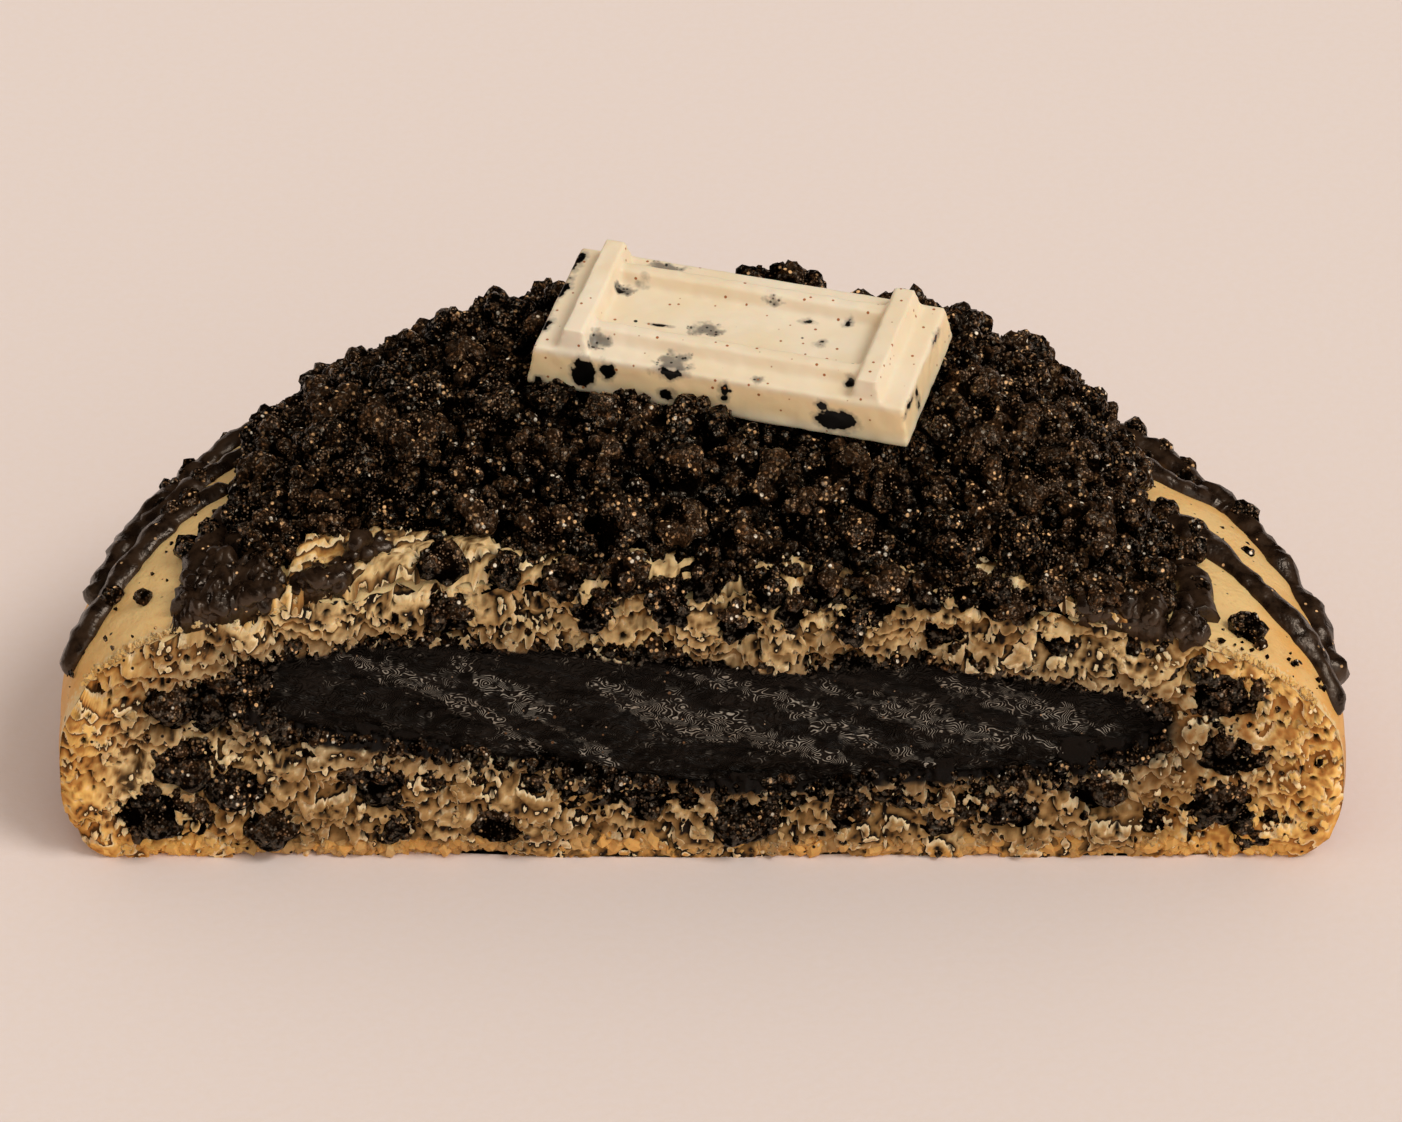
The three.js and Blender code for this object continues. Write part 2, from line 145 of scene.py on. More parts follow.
# Crumbs that stuck to the stripes: which stripe, how far along it, how far aside, and radius.
STUCK = [
    (0, 0.26, 0.3, 0.9),
    (0, 0.36, -0.3, 0.8),
    (0, 0.5, 0.2, 1.1),
    (0, 0.57, -0.2, 0.9),
    (0, 0.75, 0.2, 0.7),
    (1, 0.3, 0.4, 0.8),
    (1, 0.62, -0.3, 0.6),
    (2, 0.16, 0.2, 1.1),
    (2, 0.27, -0.6, 0.9),
    (3, 0.3, 0.5, 1.1),
    (3, 0.5, -0.4, 0.8),
    (5, 0.08, 0.2, 1.2),
    (5, 0.17, -0.3, 1.0),
    (5, 0.27, 0.3, 0.9),
    (5, 0.42, -0.2, 0.6),
    (7, 0.08, 0.2, 1.1),
    (7, 0.2, -0.3, 1.0),
    (7, 0.52, 0.4, 0.5),
    (9, 0.3, 0.3, 1.0),
    (9, 0.6, -0.2, 1.0),
]
# Larger crumbs that lie on the crust: bearing, share of the radius and radius.
LOOSE = [
    (173.5, 0.782, 1.2),
    (176.0, 0.905, 0.85),
    (179.5, 0.852, 0.7),
    (24.5, 0.94, 1.5),
    (31.0, 0.9, 0.8),
    (-2.2, 0.832, 1.3),
    (10.5, 0.765, 1.2),
    (12.5, 0.79, 0.9),
]

# Bands of the knife's fine lines on the filling, painted as highlights: both ends on the cut, half
# their width.
DRAWN = [
    (-31.5, 21.4, -19.5, 15.6, 1.3),
    (-20.5, 19.8, -7.5, 9.6, 1.2),
    (-19.0, 15.8, -13.0, 10.0, 0.8),
    (-9.0, 17.8, 12.5, 9.6, 1.5),
    (-6.0, 15.6, 3.0, 11.6, 1.4),
    (-2.0, 18.9, 10.0, 15.2, 0.9),
    (6.5, 15.1, 20.0, 9.6, 0.9),
    (10.9, 17.2, 26.0, 11.6, 1.2),
    (20.0, 18.4, 34.7, 13.2, 1.3),
    (24.0, 13.4, 33.0, 10.4, 0.6),
]

# Pools where the chocolate set at the cut's upper edge: middle along X and Y, half their width
# and depth, and thickness.
POOLS = [
    (-42.7, -28.0, 1.7, 4.2, 1.6),
    (-40.6, -27.4, 2.0, 6.0, 2.3),
    (-38.0, -27.2, 2.1, 6.0, 2.1),
    (-36.4, -29.0, 1.3, 2.6, 1.5),
    (-32.2, -30.0, 1.5, 1.6, 1.5),
    (-30.4, -29.6, 1.3, 1.7, 1.2),
    (-28.5, -26.4, 1.5, 1.5, 2.0),
    (33.2, -30.0, 1.3, 2.0, 1.2),
    (35.6, -29.6, 1.6, 3.0, 1.7),
    (38.0, -29.8, 1.2, 3.2, 1.5),
    (41.4, -29.6, 1.2, 3.4, 1.4),
]

# Crowds of dark crumbs in the cut: middle along X and height, half their width and height, how
# many, and their largest radius.
CROWDS = [
    (-42.6, 16.2, 3.4, 2.2, 12, 1.4),
    (-38.6, 16.4, 3.4, 2.4, 12, 1.4),
    (-36.2, 12.4, 2.0, 1.6, 5, 1.1),
    (-43.6, 9.4, 2.0, 1.8, 5, 1.2),
    (-46.4, 4.4, 3.2, 2.2, 10, 1.4),
    (-38.8, 7.0, 2.4, 1.8, 6, 1.2),
    (-26.4, 8.6, 3.6, 1.8, 12, 1.2),
    (-26.2, 4.4, 1.8, 1.8, 6, 1.2),
    (-20.0, 8.4, 3.0, 1.2, 8, 0.9),
    (-12.4, 7.0, 1.8, 1.4, 7, 1.0),
    (-6.6, 6.6, 3.4, 1.4, 13, 1.1),
    (-1.8, 6.0, 1.8, 1.0, 5, 0.9),
    (3.4, 4.2, 2.4, 2.4, 8, 1.3),
    (7.2, 6.4, 1.8, 1.3, 7, 1.0),
    (12.8, 5.8, 1.6, 1.4, 6, 1.1),
    (18.0, 6.4, 2.2, 1.1, 8, 0.9),
    (25.4, 6.0, 2.8, 2.4, 11, 1.3),
    (33.2, 8.8, 3.0, 1.8, 9, 1.1),
    (44.2, 17.0, 2.8, 2.3, 13, 1.4),
    (45.2, 10.8, 2.3, 2.2, 11, 1.3),
    (44.6, 5.2, 2.4, 2.2, 11, 1.3),
    (48.2, 2.6, 1.8, 1.4, 5, 1.0),
    (-21.4, 24.6, 1.8, 1.4, 5, 1.2),
    (20.4, 22.0, 1.8, 0.9, 4, 0.9),
    (38.0, 20.0, 2.6, 1.2, 5, 0.8),
]

# Crumb clumps along the heap's front edge: along X, height on the cut and radius.
FRONT_CLUMPS = [
    (-21.6, 29.6, 1.5),
    (-16.4, 29.0, 1.5),
    (-11.9, 28.4, 1.9),
    (-8.8, 25.9, 1.8),
    (-6.2, 28.6, 1.9),
    (-2.6, 26.6, 1.9),
    (0.4, 28.4, 1.8),
    (3.3, 24.9, 1.9),
    (5.6, 27.6, 1.8),
    (7.9, 25.7, 1.6),
    (10.4, 27.6, 1.8),
    (13.2, 24.4, 1.9),
    (15.7, 26.9, 1.9),
    (19.0, 27.2, 1.5),
    (21.8, 27.2, 1.7),
    (24.4, 26.6, 1.5),
    (26.6, 25.8, 1.8),
    (29.4, 26.8, 1.5),
    (33.4, 26.2, 1.9),
]

# Clumps that lean on the white tile, from the middle of its underside: place and radius.
TILE_CLUMPS = [
    (-7.6, -9.3, 0.1, 1.9),
    (-4.9, -9.5, -0.4, 1.6),
    (0.7, -9.2, -0.1, 1.5),
    (3.4, -9.6, -1.0, 1.6),
    (-1.6, 9.5, 1.0, 1.3),
    (1.4, 9.6, 1.5, 1.6),
    (3.4, 9.8, 1.2, 1.3),
]

# Cookie bits in the white tile, and bits that show through its skin: place from the middle of
# its underside, and half sizes.
TILE_CHIPS = [
    ((-11.3, 1.9, 3.8), (0.5, 0.3, 0.6)),
    ((-9.6, 3.4, 3.8), (0.3, 0.3, 0.5)),
    ((-6.8, -1.5, 3.8), (0.9, 0.16, 0.5)),
    ((5.3, 2.2, 3.8), (0.5, 0.25, 0.5)),
    ((8.8, 2.7, 3.8), (0.2, 0.2, 0.4)),
    ((7.4, -0.5, 3.8), (0.26, 0.26, 0.5)),
    ((-12.2, -4.2, 3.8), (0.4, 0.6, 0.5)),
    ((11.4, -4.8, 3.8), (0.5, 0.5, 0.6)),
    ((-11.8, -7.4, 2.0), (0.95, 0.8, 1.5)),
    ((-9.8, -7.4, 2.6), (0.75, 0.7, 0.7)),
    ((-4.2, -7.3, 3.4), (1.1, 0.6, 0.5)),
    ((-4.4, -7.5, 1.2), (0.65, 0.6, 0.5)),
    ((0.7, -7.4, 2.5), (0.38, 0.5, 0.75)),
    ((-15.7, -7.5, 0.5), (0.45, 0.5, 0.3)),
    ((10.6, -7.4, 1.5), (1.7, 0.8, 1.0)),
    ((9.2, -7.4, 2.7), (0.3, 0.4, 0.3)),
    ((16.7, -6.0, 3.0), (0.3, 1.2, 0.25)),
    ((16.8, -3.4, 2.2), (0.3, 0.35, 0.9)),
    ((16.6, 3.6, 3.2), (0.3, 0.8, 0.4)),
    ((-16.1, 5.2, 3.7), (0.4, 0.9, 0.3)),
    ((-16.2, 1.4, 3.7), (0.45, 1.1, 0.3)),
    ((-16.2, -3.8, 3.7), (0.35, 0.9, 0.3)),
]
TILE_GHOSTS = [
    ((-8.4, 6.1, 3.8), (1.3, 0.6, 0.8)),
    ((-11.1, 2.2, 3.8), (0.8, 0.5, 0.8)),
    ((-2.8, -1.1, 3.8), (1.15, 0.75, 0.8)),
    ((1.9, 3.4, 3.8), (0.9, 0.3, 0.8)),
    ((-11.7, -5.1, 3.8), (1.3, 1.0, 0.8)),
    ((-4.1, -6.1, 3.8), (1.4, 0.9, 0.8)),
    ((3.5, -6.3, 3.8), (0.4, 0.3, 0.8)),
]

# ---- Other numbers ----
# How many are made, or how many places are tried and then thinned out.
RIM_FLAKES = 240
FOOT_KNOBS = 420
FRINGE_CRUMBS = 520
BIT_TRIES = 4200
LUMPS_A_POOL = 9
LARGE_CLUMP_TRIES = 5200
LARGE_CLUMPS = 150
SMALL_CLUMP_TRIES = 9000
SMALL_CLUMPS = 480
STRAY_TRIES = 2600
PLACES_AT_ONCE = 8000

# The shelf level at which a flake has neither a painted highlight on its lip nor painted shadow in
# its crease.
LIP_LEVEL = 0.25
# The greatest height where nothing holds the crumbs down.
NO_LIMIT = 99.0
# The way towards the painted light: the side of a crumb that faces it is painted lit and browner.
LIT_WAY = np.array([0.2, -0.5, 0.84])

# The camera's lens in millimetres, its place in metres and how many degrees it looks down.
LENS = 178.7
CAMERA_PLACE = (0.00009, -0.5197, 0.3479)
CAMERA_DOWN = 33
# Half the floor's width, in metres.
FLOOR_HALF = 3.0


# ---- Small tools ----
def tone(red, green, blue):
    """A colour given as 0 to 255, as the linear values that Blender keeps."""
    shares = [v / 255 for v in (red, green, blue)]
    return tuple(v / 12.92 if v <= 0.04045 else ((v + 0.055) / 1.055) ** 2.4 for v in shares)


def hash01(i, j, k):
    """A number from 0 to 1 for each lattice point, the same on every run."""
    i, j, k = (np.asarray(v, dtype=np.int64).astype(np.uint32) for v in (i, j, k))
    with np.errstate(over="ignore"):
        mixed = i * np.uint32(374761393) ^ j * np.uint32(668265263) ^ k * np.uint32(2147483647)
        mixed = (mixed ^ (mixed >> np.uint32(13))) * np.uint32(1274126177)
    return (mixed ^ (mixed >> np.uint32(16))) / 2.0**32


def ease(t):
    """Smooth from 0 to 1, and level at both ends."""
    t = np.clip(t, 0, 1)
    return t * t * (3 - 2 * t)


def between(value, low, high):
    """0 up to low, 1 from high, and smooth between them."""
    return ease((value - low) / (high - low))


def unit(vectors):
    """The same ways, each of length 1."""
    return vectors / np.linalg.norm(vectors, axis=-1, keepdims=True)


def noise(x, y, seed):
    """Smooth noise from 0 to 1 on a unit lattice."""
    i, j = np.floor(x), np.floor(y)
    u, v = ease(x - i), ease(y - j)
    low = hash01(i, j, seed) * (1 - u) + hash01(i + 1, j, seed) * u
    high = hash01(i, j + 1, seed) * (1 - u) + hash01(i + 1, j + 1, seed) * u
    return low * (1 - v) + high * v


def ripple(x, size, seed, row=0.0):
    """Smooth noise from 0 to 1 along a line, with features of that size."""
    return noise(x / size, np.full(np.shape(x), row), seed)


def noise_in_space(points, size, seed):
    """Smooth noise from 0 to 1 for points in space, with features of that size."""
    x, y, z = (points / size).T
    layer = np.floor(z)
    share = ease(z - layer)
    below, above = (noise(x, y, (layer + step) * 31 + seed) for step in (0, 1))
    return below * (1 - share) + above * share


def cells(x, y, size, seed):
    """Irregular cells: distance to the nearest middle, the way from it, and the cell's key."""
    u, v = x / size, y / size
    away = np.full(u.shape, 9.0)
    ahead, across, key = (np.zeros(u.shape) for _ in range(3))
    for di in (-1, 0, 1):
        for dj in (-1, 0, 1):
            i, j = np.floor(u) + di, np.floor(v) + dj
            du = u - i - hash01(i, j, seed)
            dv = v - j - hash01(i, j, seed + 1)
            distance = np.hypot(du, dv)
            closer = distance < away
            away = np.where(closer, distance, away)
            ahead, across = np.where(closer, du, ahead), np.where(closer, dv, across)
            key = np.where(closer, hash01(i, j, seed + 2), key)
    return away, ahead, across, key


def facets(x, y, size, seed, tilt, step):
    """Height of flat flakes of that size, each tilted and raised in its own way."""
    _, ahead, across, key = cells(x, y, size, seed)
    way = key * 44
    return tilt * (ahead * np.cos(way) + across * np.sin(way)) + step * (key * 7 % 1 - 0.5)


# ---- The dough's outer form ----
def roundness(x, y):
    """How far the dough's outline is from a true circle, where 1 is a circle."""
    bearing = np.arctan2(y - CENTRE_Y, x)
    return 1 + 0.006 * np.sin(3 * bearing + 0.7) + 0.004 * np.sin(7 * bearing)


def lift(x, y):
    """How much higher the dome's top is at a place, with its lean and its shallow dents."""
    return -LEAN * x + DENT * (noise(x / DENT_SPACING + 5, y / DENT_SPACING + 5, 11) - 0.5)


def dome_height(x, y):
    """Height of the whole dome."""
    share = np.minimum(1, np.hypot(x, y - CENTRE_Y) / (RADIUS * roundness(x, y)))
    even = WIDEST_Z + RISE * (1 - share**SHOULDER) ** (1 / SHOULDER)
    return even + lift(x, y) * even / TOP_Z


def under_height(x, y):
    """Height of the dough's underside: flat, and rounded up towards the widest level."""
    r = np.hypot(x, y - CENTRE_Y) / roundness(x, y)
    share = np.clip((r - BASE_RADIUS) / (RADIUS - BASE_RADIUS), 0, 1)
    level = WIDEST_Z * (1 - np.sqrt(1 - share**2))
    return level * (1 + lift(x, y) / TOP_Z)


def top_of_cut(x):
    """Height of the whole dome over the cut."""
    return dome_height(x, np.full(x.shape, CUT_Y))


def foot_of_cut(x):
    """Height of the underside at the cut."""
    return under_height(x, np.full(x.shape, CUT_Y))


def within_cut(x, z, margin):
    """Whether a place of the cut lies inside its outline, by that margin."""
    return (z < top_of_cut(x) - margin) & (z > foot_of_cut(x) + margin)


def edge_drop(x):
    """How far the torn edge between the cut and the crust lies below the whole dome."""
    ragged = 0.7 * ripple(x, 1.5, 51, 0.5) + 0.4 * ripple(x, 0.55, 52, 0.5)
    return ragged * between(top_of_cut(x), 12, 18)


def torn_dome(x, y):
    """Height of the dome, which drops to its torn edge at the cut."""
    return dome_height(x, y) - edge_drop(x) * between(y - CUT_Y, 1.2, 0.0)


def dome_point(bearing, share, proud):
    """A point over the crust, from its bearing in degrees and its share of the radius."""
    a = np.radians(bearing)
    slope = np.arctan2(RISE * share ** (SHOULDER - 1), RADIUS * (1 - share**SHOULDER))
    r = RADIUS * share + proud * np.sin(slope)
    x, y = r * np.cos(a), CENTRE_Y + r * np.sin(a)
    even = WIDEST_Z + RISE * np.maximum(0, 1 - share**SHOULDER) ** (1 / SHOULDER)
    return np.stack([x, y, even + lift(x, y) * even / TOP_Z + proud * np.cos(slope)], -1)


def outline_reach(bearing, radius):
    """How far the outline of that radius lies from the middle of the cut, along a bearing."""
    reach = np.full(bearing.shape, float(radius))
    offset = CENTRE_Y - CUT_Y
    for _ in range(4):
        x, y = reach * np.cos(bearing), CUT_Y + reach * np.sin(bearing)
        wide = radius * roundness(x, y)
        reach = offset * np.sin(bearing) + np.sqrt(wide**2 - (offset * np.cos(bearing)) ** 2)
    return reach


def cut_columns(spacing):
    """Places along the cut, closer together where its outline turns down at both ends."""
    sides = []
    for bearing in (0.0, math.pi):
        end = outline_reach(np.array([bearing]), RADIUS)[0]
        even = np.arange(0, end - 3.0, spacing)
        last = even[-1] + spacing
        steps = np.linspace(0, 1, 34)
        sides.append(np.concatenate([even, last + (end - last) * (1 - (1 - steps) ** 2.4)]))
    return np.concatenate([-sides[1][:0:-1], sides[0]])


# ---- The filling's and the heap's form ----
def filling_middle(x):
    """Height of the filling's middle on the cut."""
    rise = between(-x, -4, 30) * FILLING_RISE
    return FILLING_Z + rise + 1.3 * (noise(x / 9 + 3, np.full(x.shape, CUT_Y / 9), 41) - 0.5)


def filling_half(x):
    """Half the filling's thickness on the cut."""
    share = np.clip(np.hypot(x, CENTRE_Y - CUT_Y) / FILLING_RADIUS, 0, 1)
    ragged = 0.5 * (ripple(x, 2.3, 43, 3.5) - 0.5) * (1 - share**6)
    return FILLING_HALF * (1 - share**FILLING_POWER) ** (1 / FILLING_POWER) + ragged


def beyond_filling(x, z):
    """Roughly how far a point of the cut lies outside the filling."""
    share = np.hypot(x, CENTRE_Y - CUT_Y) / FILLING_RADIUS
    up = np.abs(z - filling_middle(x)) / FILLING_HALF
    around = (share**FILLING_POWER + up**FILLING_POWER) ** (1 / FILLING_POWER)
    return (around - 1) * FILLING_HALF * 1.1


def heap_inside(x, y):
    """How far inside the heap's outline a place in the plan lies."""
    aside = x - HEAP_MIDDLE
    behind = np.maximum(0, y - CENTRE_Y)
    bearing = np.arctan2(behind, aside)
    power = np.where(aside < 0, HEAP_CORNERS[0], HEAP_CORNERS[1])
    total = np.abs(aside / HEAP_HALF_WIDTH) ** power + (behind / HEAP_BACK) ** power
    uneven = 1.2 * np.sin(3 * bearing + 1) + 0.9 * np.sin(8 * bearing)
    left = SETBACK_LEFT * between(-x, 13, 26)
    right = SETBACK_RIGHT * between(x, 13, 18)
    inside = HEAP_BACK * (1 - total ** (1 / power)) + uneven
    return np.minimum(inside, y - CUT_Y - left - right + 1)


def heap_depth(x, y):
    """How thick the heap is over the dome."""
    rise = np.sin(np.pi / 2 * np.clip(heap_inside(x, y) / HEAP_REACH, 0, 1))
    deep = HEAP_DEPTH + LEAN * (x + y - CENTRE_Y) + HEAP_BANK * between(x, 8, 26)
    return HEAP_RIM_DEPTH + (deep - HEAP_RIM_DEPTH) * rise


def heap_dip(x, y):
    """How much lower the heap's crumbs lie behind the tile, on the right."""
    return RIGHT_DIP * between(x, 4, 15) * between(y, -6, 8)


def heap_limit(x, y):
    """The greatest height of the crumbs near the tile, which lies on them."""
    turn = -TILE_TURN[2]
    u = (x - TILE_PLACE[0]) * math.cos(turn) - (y - TILE_PLACE[1]) * math.sin(turn)
    v = (x - TILE_PLACE[0]) * math.sin(turn) + (y - TILE_PLACE[1]) * math.cos(turn)
    underside = TILE_PLACE[2] + v * math.tan(TILE_TURN[0]) - u * math.tan(TILE_TURN[1])
    beyond = np.maximum(np.abs(u) - TILE_SIZE[0] / 2, -v - TILE_SIZE[1] / 2)
    limit = underside + TILE_BANK * np.maximum(0, beyond - TILE_MARGIN)
    return np.where(v > TILE_SIZE[1] / 2, NO_LIMIT, limit)


def tile_space(points):
    """Points in the white tile's own space, from the middle of its underside."""
    return (points - TILE_PLACE) @ TILE_MATRIX


def under_tile(places, radii):
    """Whether a clump at each place would reach into the white tile."""
    u, v, up = tile_space(places).T
    reach = 0.55 * radii
    beside = (np.abs(u) < TILE_SIZE[0] / 2 + reach) & (np.abs(v) < TILE_SIZE[1] / 2 + reach)
    return beside & (up + radii * 0.9 > 0.05) & (up < 7)


# ---- Forms: the points, the faces and the values at each point, in millimetres ----
def grid_faces(rows, columns):
    """Quads between the points of a grid that is numbered row by row."""
    first = (np.arange(rows - 1)[:, None] * columns + np.arange(columns - 1)).ravel()
    return np.stack([first, first + 1, first + 1 + columns, first + columns], -1)


def tidy_grid(points, faces, keep, values=()):
    """A form without the faces that aren't kept, and without the points that only they used."""
    faces = faces[keep]
    used = np.unique(faces)
    renumber = np.zeros(len(points), dtype=np.int64)
    renumber[used] = np.arange(len(used))
    left = {label: np.broadcast_to(v, len(points))[used] for label, v in dict(values).items()}
    return points[used], renumber[faces], left


def joined(*forms):
    """Several forms as one."""
    points, faces, values = zip(*forms)
    starts = np.cumsum([0] + [len(p) for p in points[:-1]])
    merged = {label: np.concatenate([v[label] for v in values]) for label in values[0]}
    shifted = [f + start for f, start in zip(faces, starts)]
    return np.concatenate(points), np.concatenate(shifted), merged


def linked(name, data):
    """A new object in the scene."""
    made = bpy.data.objects.new(name, data)
    bpy.context.scene.collection.objects.link(made)
    return made


def piece(name, form, finish, nodes=(), smooth=True):
    """A piece of the cookie from a form, which stands for the nodes that are named."""
    points, faces, values = form
    mesh = bpy.data.meshes.new(name)
    mesh.vertices.add(len(points))
    mesh.vertices.foreach_set("co", (points / 1000).astype(np.float32).ravel())
    mesh.loops.add(faces.size)
    mesh.loops.foreach_set("vertex_index", faces.astype(np.int32).ravel())
    mesh.polygons.add(len(faces))
    starts = np.arange(0, faces.size, faces.shape[1], dtype=np.int32)
    mesh.polygons.foreach_set("loop_start", starts)
    mesh.update(calc_edges=True)
    if smooth:
        mesh.shade_smooth()
    else:
        mesh.shade_flat()
    for label, numbers in values.items():
        layer = mesh.attributes.new(label, "FLOAT", "POINT")
        layer.data.foreach_set("value", np.broadcast_to(numbers, len(points)).astype(np.float32))
    mesh.materials.append(finish)
    made = linked(name, mesh)
    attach(made, "root")
    if nodes:
        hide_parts(*nodes)
    return made


# ---- Loose crumbs and flakes ----
def ball(level):
    """The points and faces of an even ball of radius 1."""
    shape = bmesh.new()
    bmesh.ops.create_icosphere(shape, subdivisions=level, radius=1)
    points = np.array([v.co[:] for v in shape.verts])
    faces = np.array([[v.index for v in face.verts] for face in shape.faces])
    shape.free()
    return points, faces


def crumb_shapes(level, count, random, uneven, knobs, knob_size, rough):
    """Irregular crumbs: an uneven ball with round knobs on it and a rough skin."""
    points, faces = ball(level)
    shapes = []
    for _ in range(count):
        seed = int(random.integers(1, 900))
        size = 1 + uneven * 2 * (noise_in_space(points + 7, 0.9, seed) - 0.5)
        middles = unit(random.normal(size=(int(4 / knob_size**2) + 1, 3)))
        away = np.arccos(np.clip(points @ middles.T, -1, 1)).min(axis=1)
        size += knobs * (1 - (away / knob_size) ** 2).clip(-0.6, 1)
        size += rough * (noise_in_space(points + 3, 0.16, seed + 5) - 0.5)
        shapes.append(points * size[:, None])
    return shapes, faces


def flake_faces(around):
    """Faces of a flake whose points are its front's and its back's middle, a ring and the rim."""
    inner = 2 + np.arange(around)
    rim = inner + around
    after = np.roll(np.arange(around), -1)
    front, back = np.zeros(around, int), np.ones(around, int)
    rows = (
        (front, inner[after], inner),
        (inner, inner[after], rim[after]),
        (inner, rim[after], rim),
        (back, rim, rim[after]),
    )
    return np.vstack([np.stack(row, -1) for row in rows])


def flake_shapes(count, random):
    """Thin torn flakes with ragged rims, in the XZ plane, and how near the rim each point is."""
    around = 12
    a = np.arange(around) * 2 * math.pi / around
    shapes = []
    for _ in range(count):
        first, second = random.uniform(0, 6, 2)
        reach = 0.85 + 0.2 * np.sin(3 * a + first) + 0.16 * np.sin(5 * a + second)
        reach += random.uniform(-0.12, 0.12, around)
        cup = random.uniform(-0.35, 0.1)
        x, z = np.cos(a) * reach, np.sin(a) * reach
        ring = np.stack([x * 0.62, random.uniform(-0.24, -0.04, around), z * 0.62], -1)
        rim = np.stack([x, cup + random.uniform(-0.16, 0.16, around), z], -1)
        shapes.append(np.vstack([[[0, -0.16, 0], [0, 0.2, 0]], ring, rim]))
    near_rim = np.concatenate([[0, 0], np.full(around, 0.35), np.ones(around)])
    return shapes, flake_faces(around), near_rim


def turns(random, count):
    """Random rotations, one matrix each."""
    w, x, y, z = unit(random.normal(size=(count, 4))).T
    rows = [
        [1 - 2 * (y * y + z * z), 2 * (x * y - z * w), 2 * (x * z + y * w)],
        [2 * (x * y + z * w), 1 - 2 * (x * x + z * z), 2 * (y * z - x * w)],
        [2 * (x * z - y * w), 2 * (y * z + x * w), 1 - 2 * (x * x + y * y)],
    ]
    return np.moveaxis(np.array(rows), 2, 0)


def turns_about(axis, angles):
    """Rotations about one axis, one matrix for each angle."""
    before, after = (axis + 1) % 3, (axis + 2) % 3
    matrices = np.zeros((len(angles), 3, 3))
    matrices[:, axis, axis] = 1
    matrices[:, before, before] = matrices[:, after, after] = np.cos(angles)
    matrices[:, after, before] = np.sin(angles)
    matrices[:, before, after] = -np.sin(angles)
    return matrices


def tilts(random, count, lowest, highest):
    """Rotations of flakes that look along -Y: spun, then tilted up or down, then swung aside."""
    spin, tilt = random.uniform(0, 2 * math.pi, count), random.uniform(lowest, highest, count)
    swing = random.normal(0, 0.5, count)
    return turns_about(2, swing) @ turns_about(0, tilt) @ turns_about(1, spin)


def standing_out(shape):
    """How far each point of a crumb stands out from it, from 0 in its creases to 1 on its knobs."""
    reach = np.linalg.norm(shape, axis=-1)
    spread = reach.std() + 1e-6
    return between(reach, reach.mean() - spread, reach.mean() + 0.8 * spread)


def strewn(shapes, faces, places, sizes, random, values=(), turned=None):
    """A form with a copy of one of the shapes at each place, turned at random if no turn is given."""
    count, size = len(places), len(shapes[0])
    sizes = np.broadcast_to(np.asarray(sizes, dtype=float).reshape(count, -1), (count, 3))
    which = random.integers(len(shapes), size=count)
    turned = turns(random, count) if turned is None else turned
    rotated = np.einsum("nij,npj->npi", turned, np.array(shapes)[which] * sizes[:, None])
    points = (rotated + np.asarray(places)[:, None]).reshape(-1, 3)
    all_faces = (faces[None] + (np.arange(count) * size)[:, None, None]).reshape(-1, faces.shape[1])
    spread = {label: np.repeat(np.broadcast_to(v, count), size) for label, v in dict(values).items()}
    spread["tint"] = np.repeat(random.random(count), size)
    spread["knob"] = np.array([standing_out(shape) for shape in shapes])[which].ravel()
    # Painted light: crumbs nearer the two ends are painted more lit than those in the middle.
    ends = 0.32 * between(np.abs(places[:, 0]), 8, 30)
    spread["lit"] = (rotated @ LIT_WAY / sizes.max(axis=1)[:, None] + ends[:, None]).ravel()
    return points, all_faces, spread


def apart(places, radii, closeness, settled, settled_radii):
    """Picks places one by one, each at least its share of the two radii from those before it."""
    chosen = []
    for n, (place, radius) in enumerate(zip(places, radii)):
        gaps = np.linalg.norm(settled - place, axis=1)
        if np.all(gaps > closeness * (settled_radii + radius)):
            settled = np.vstack([settled, place])
            settled_radii = np.append(settled_radii, radius)
            chosen.append(n)
    return np.array(chosen, dtype=int)


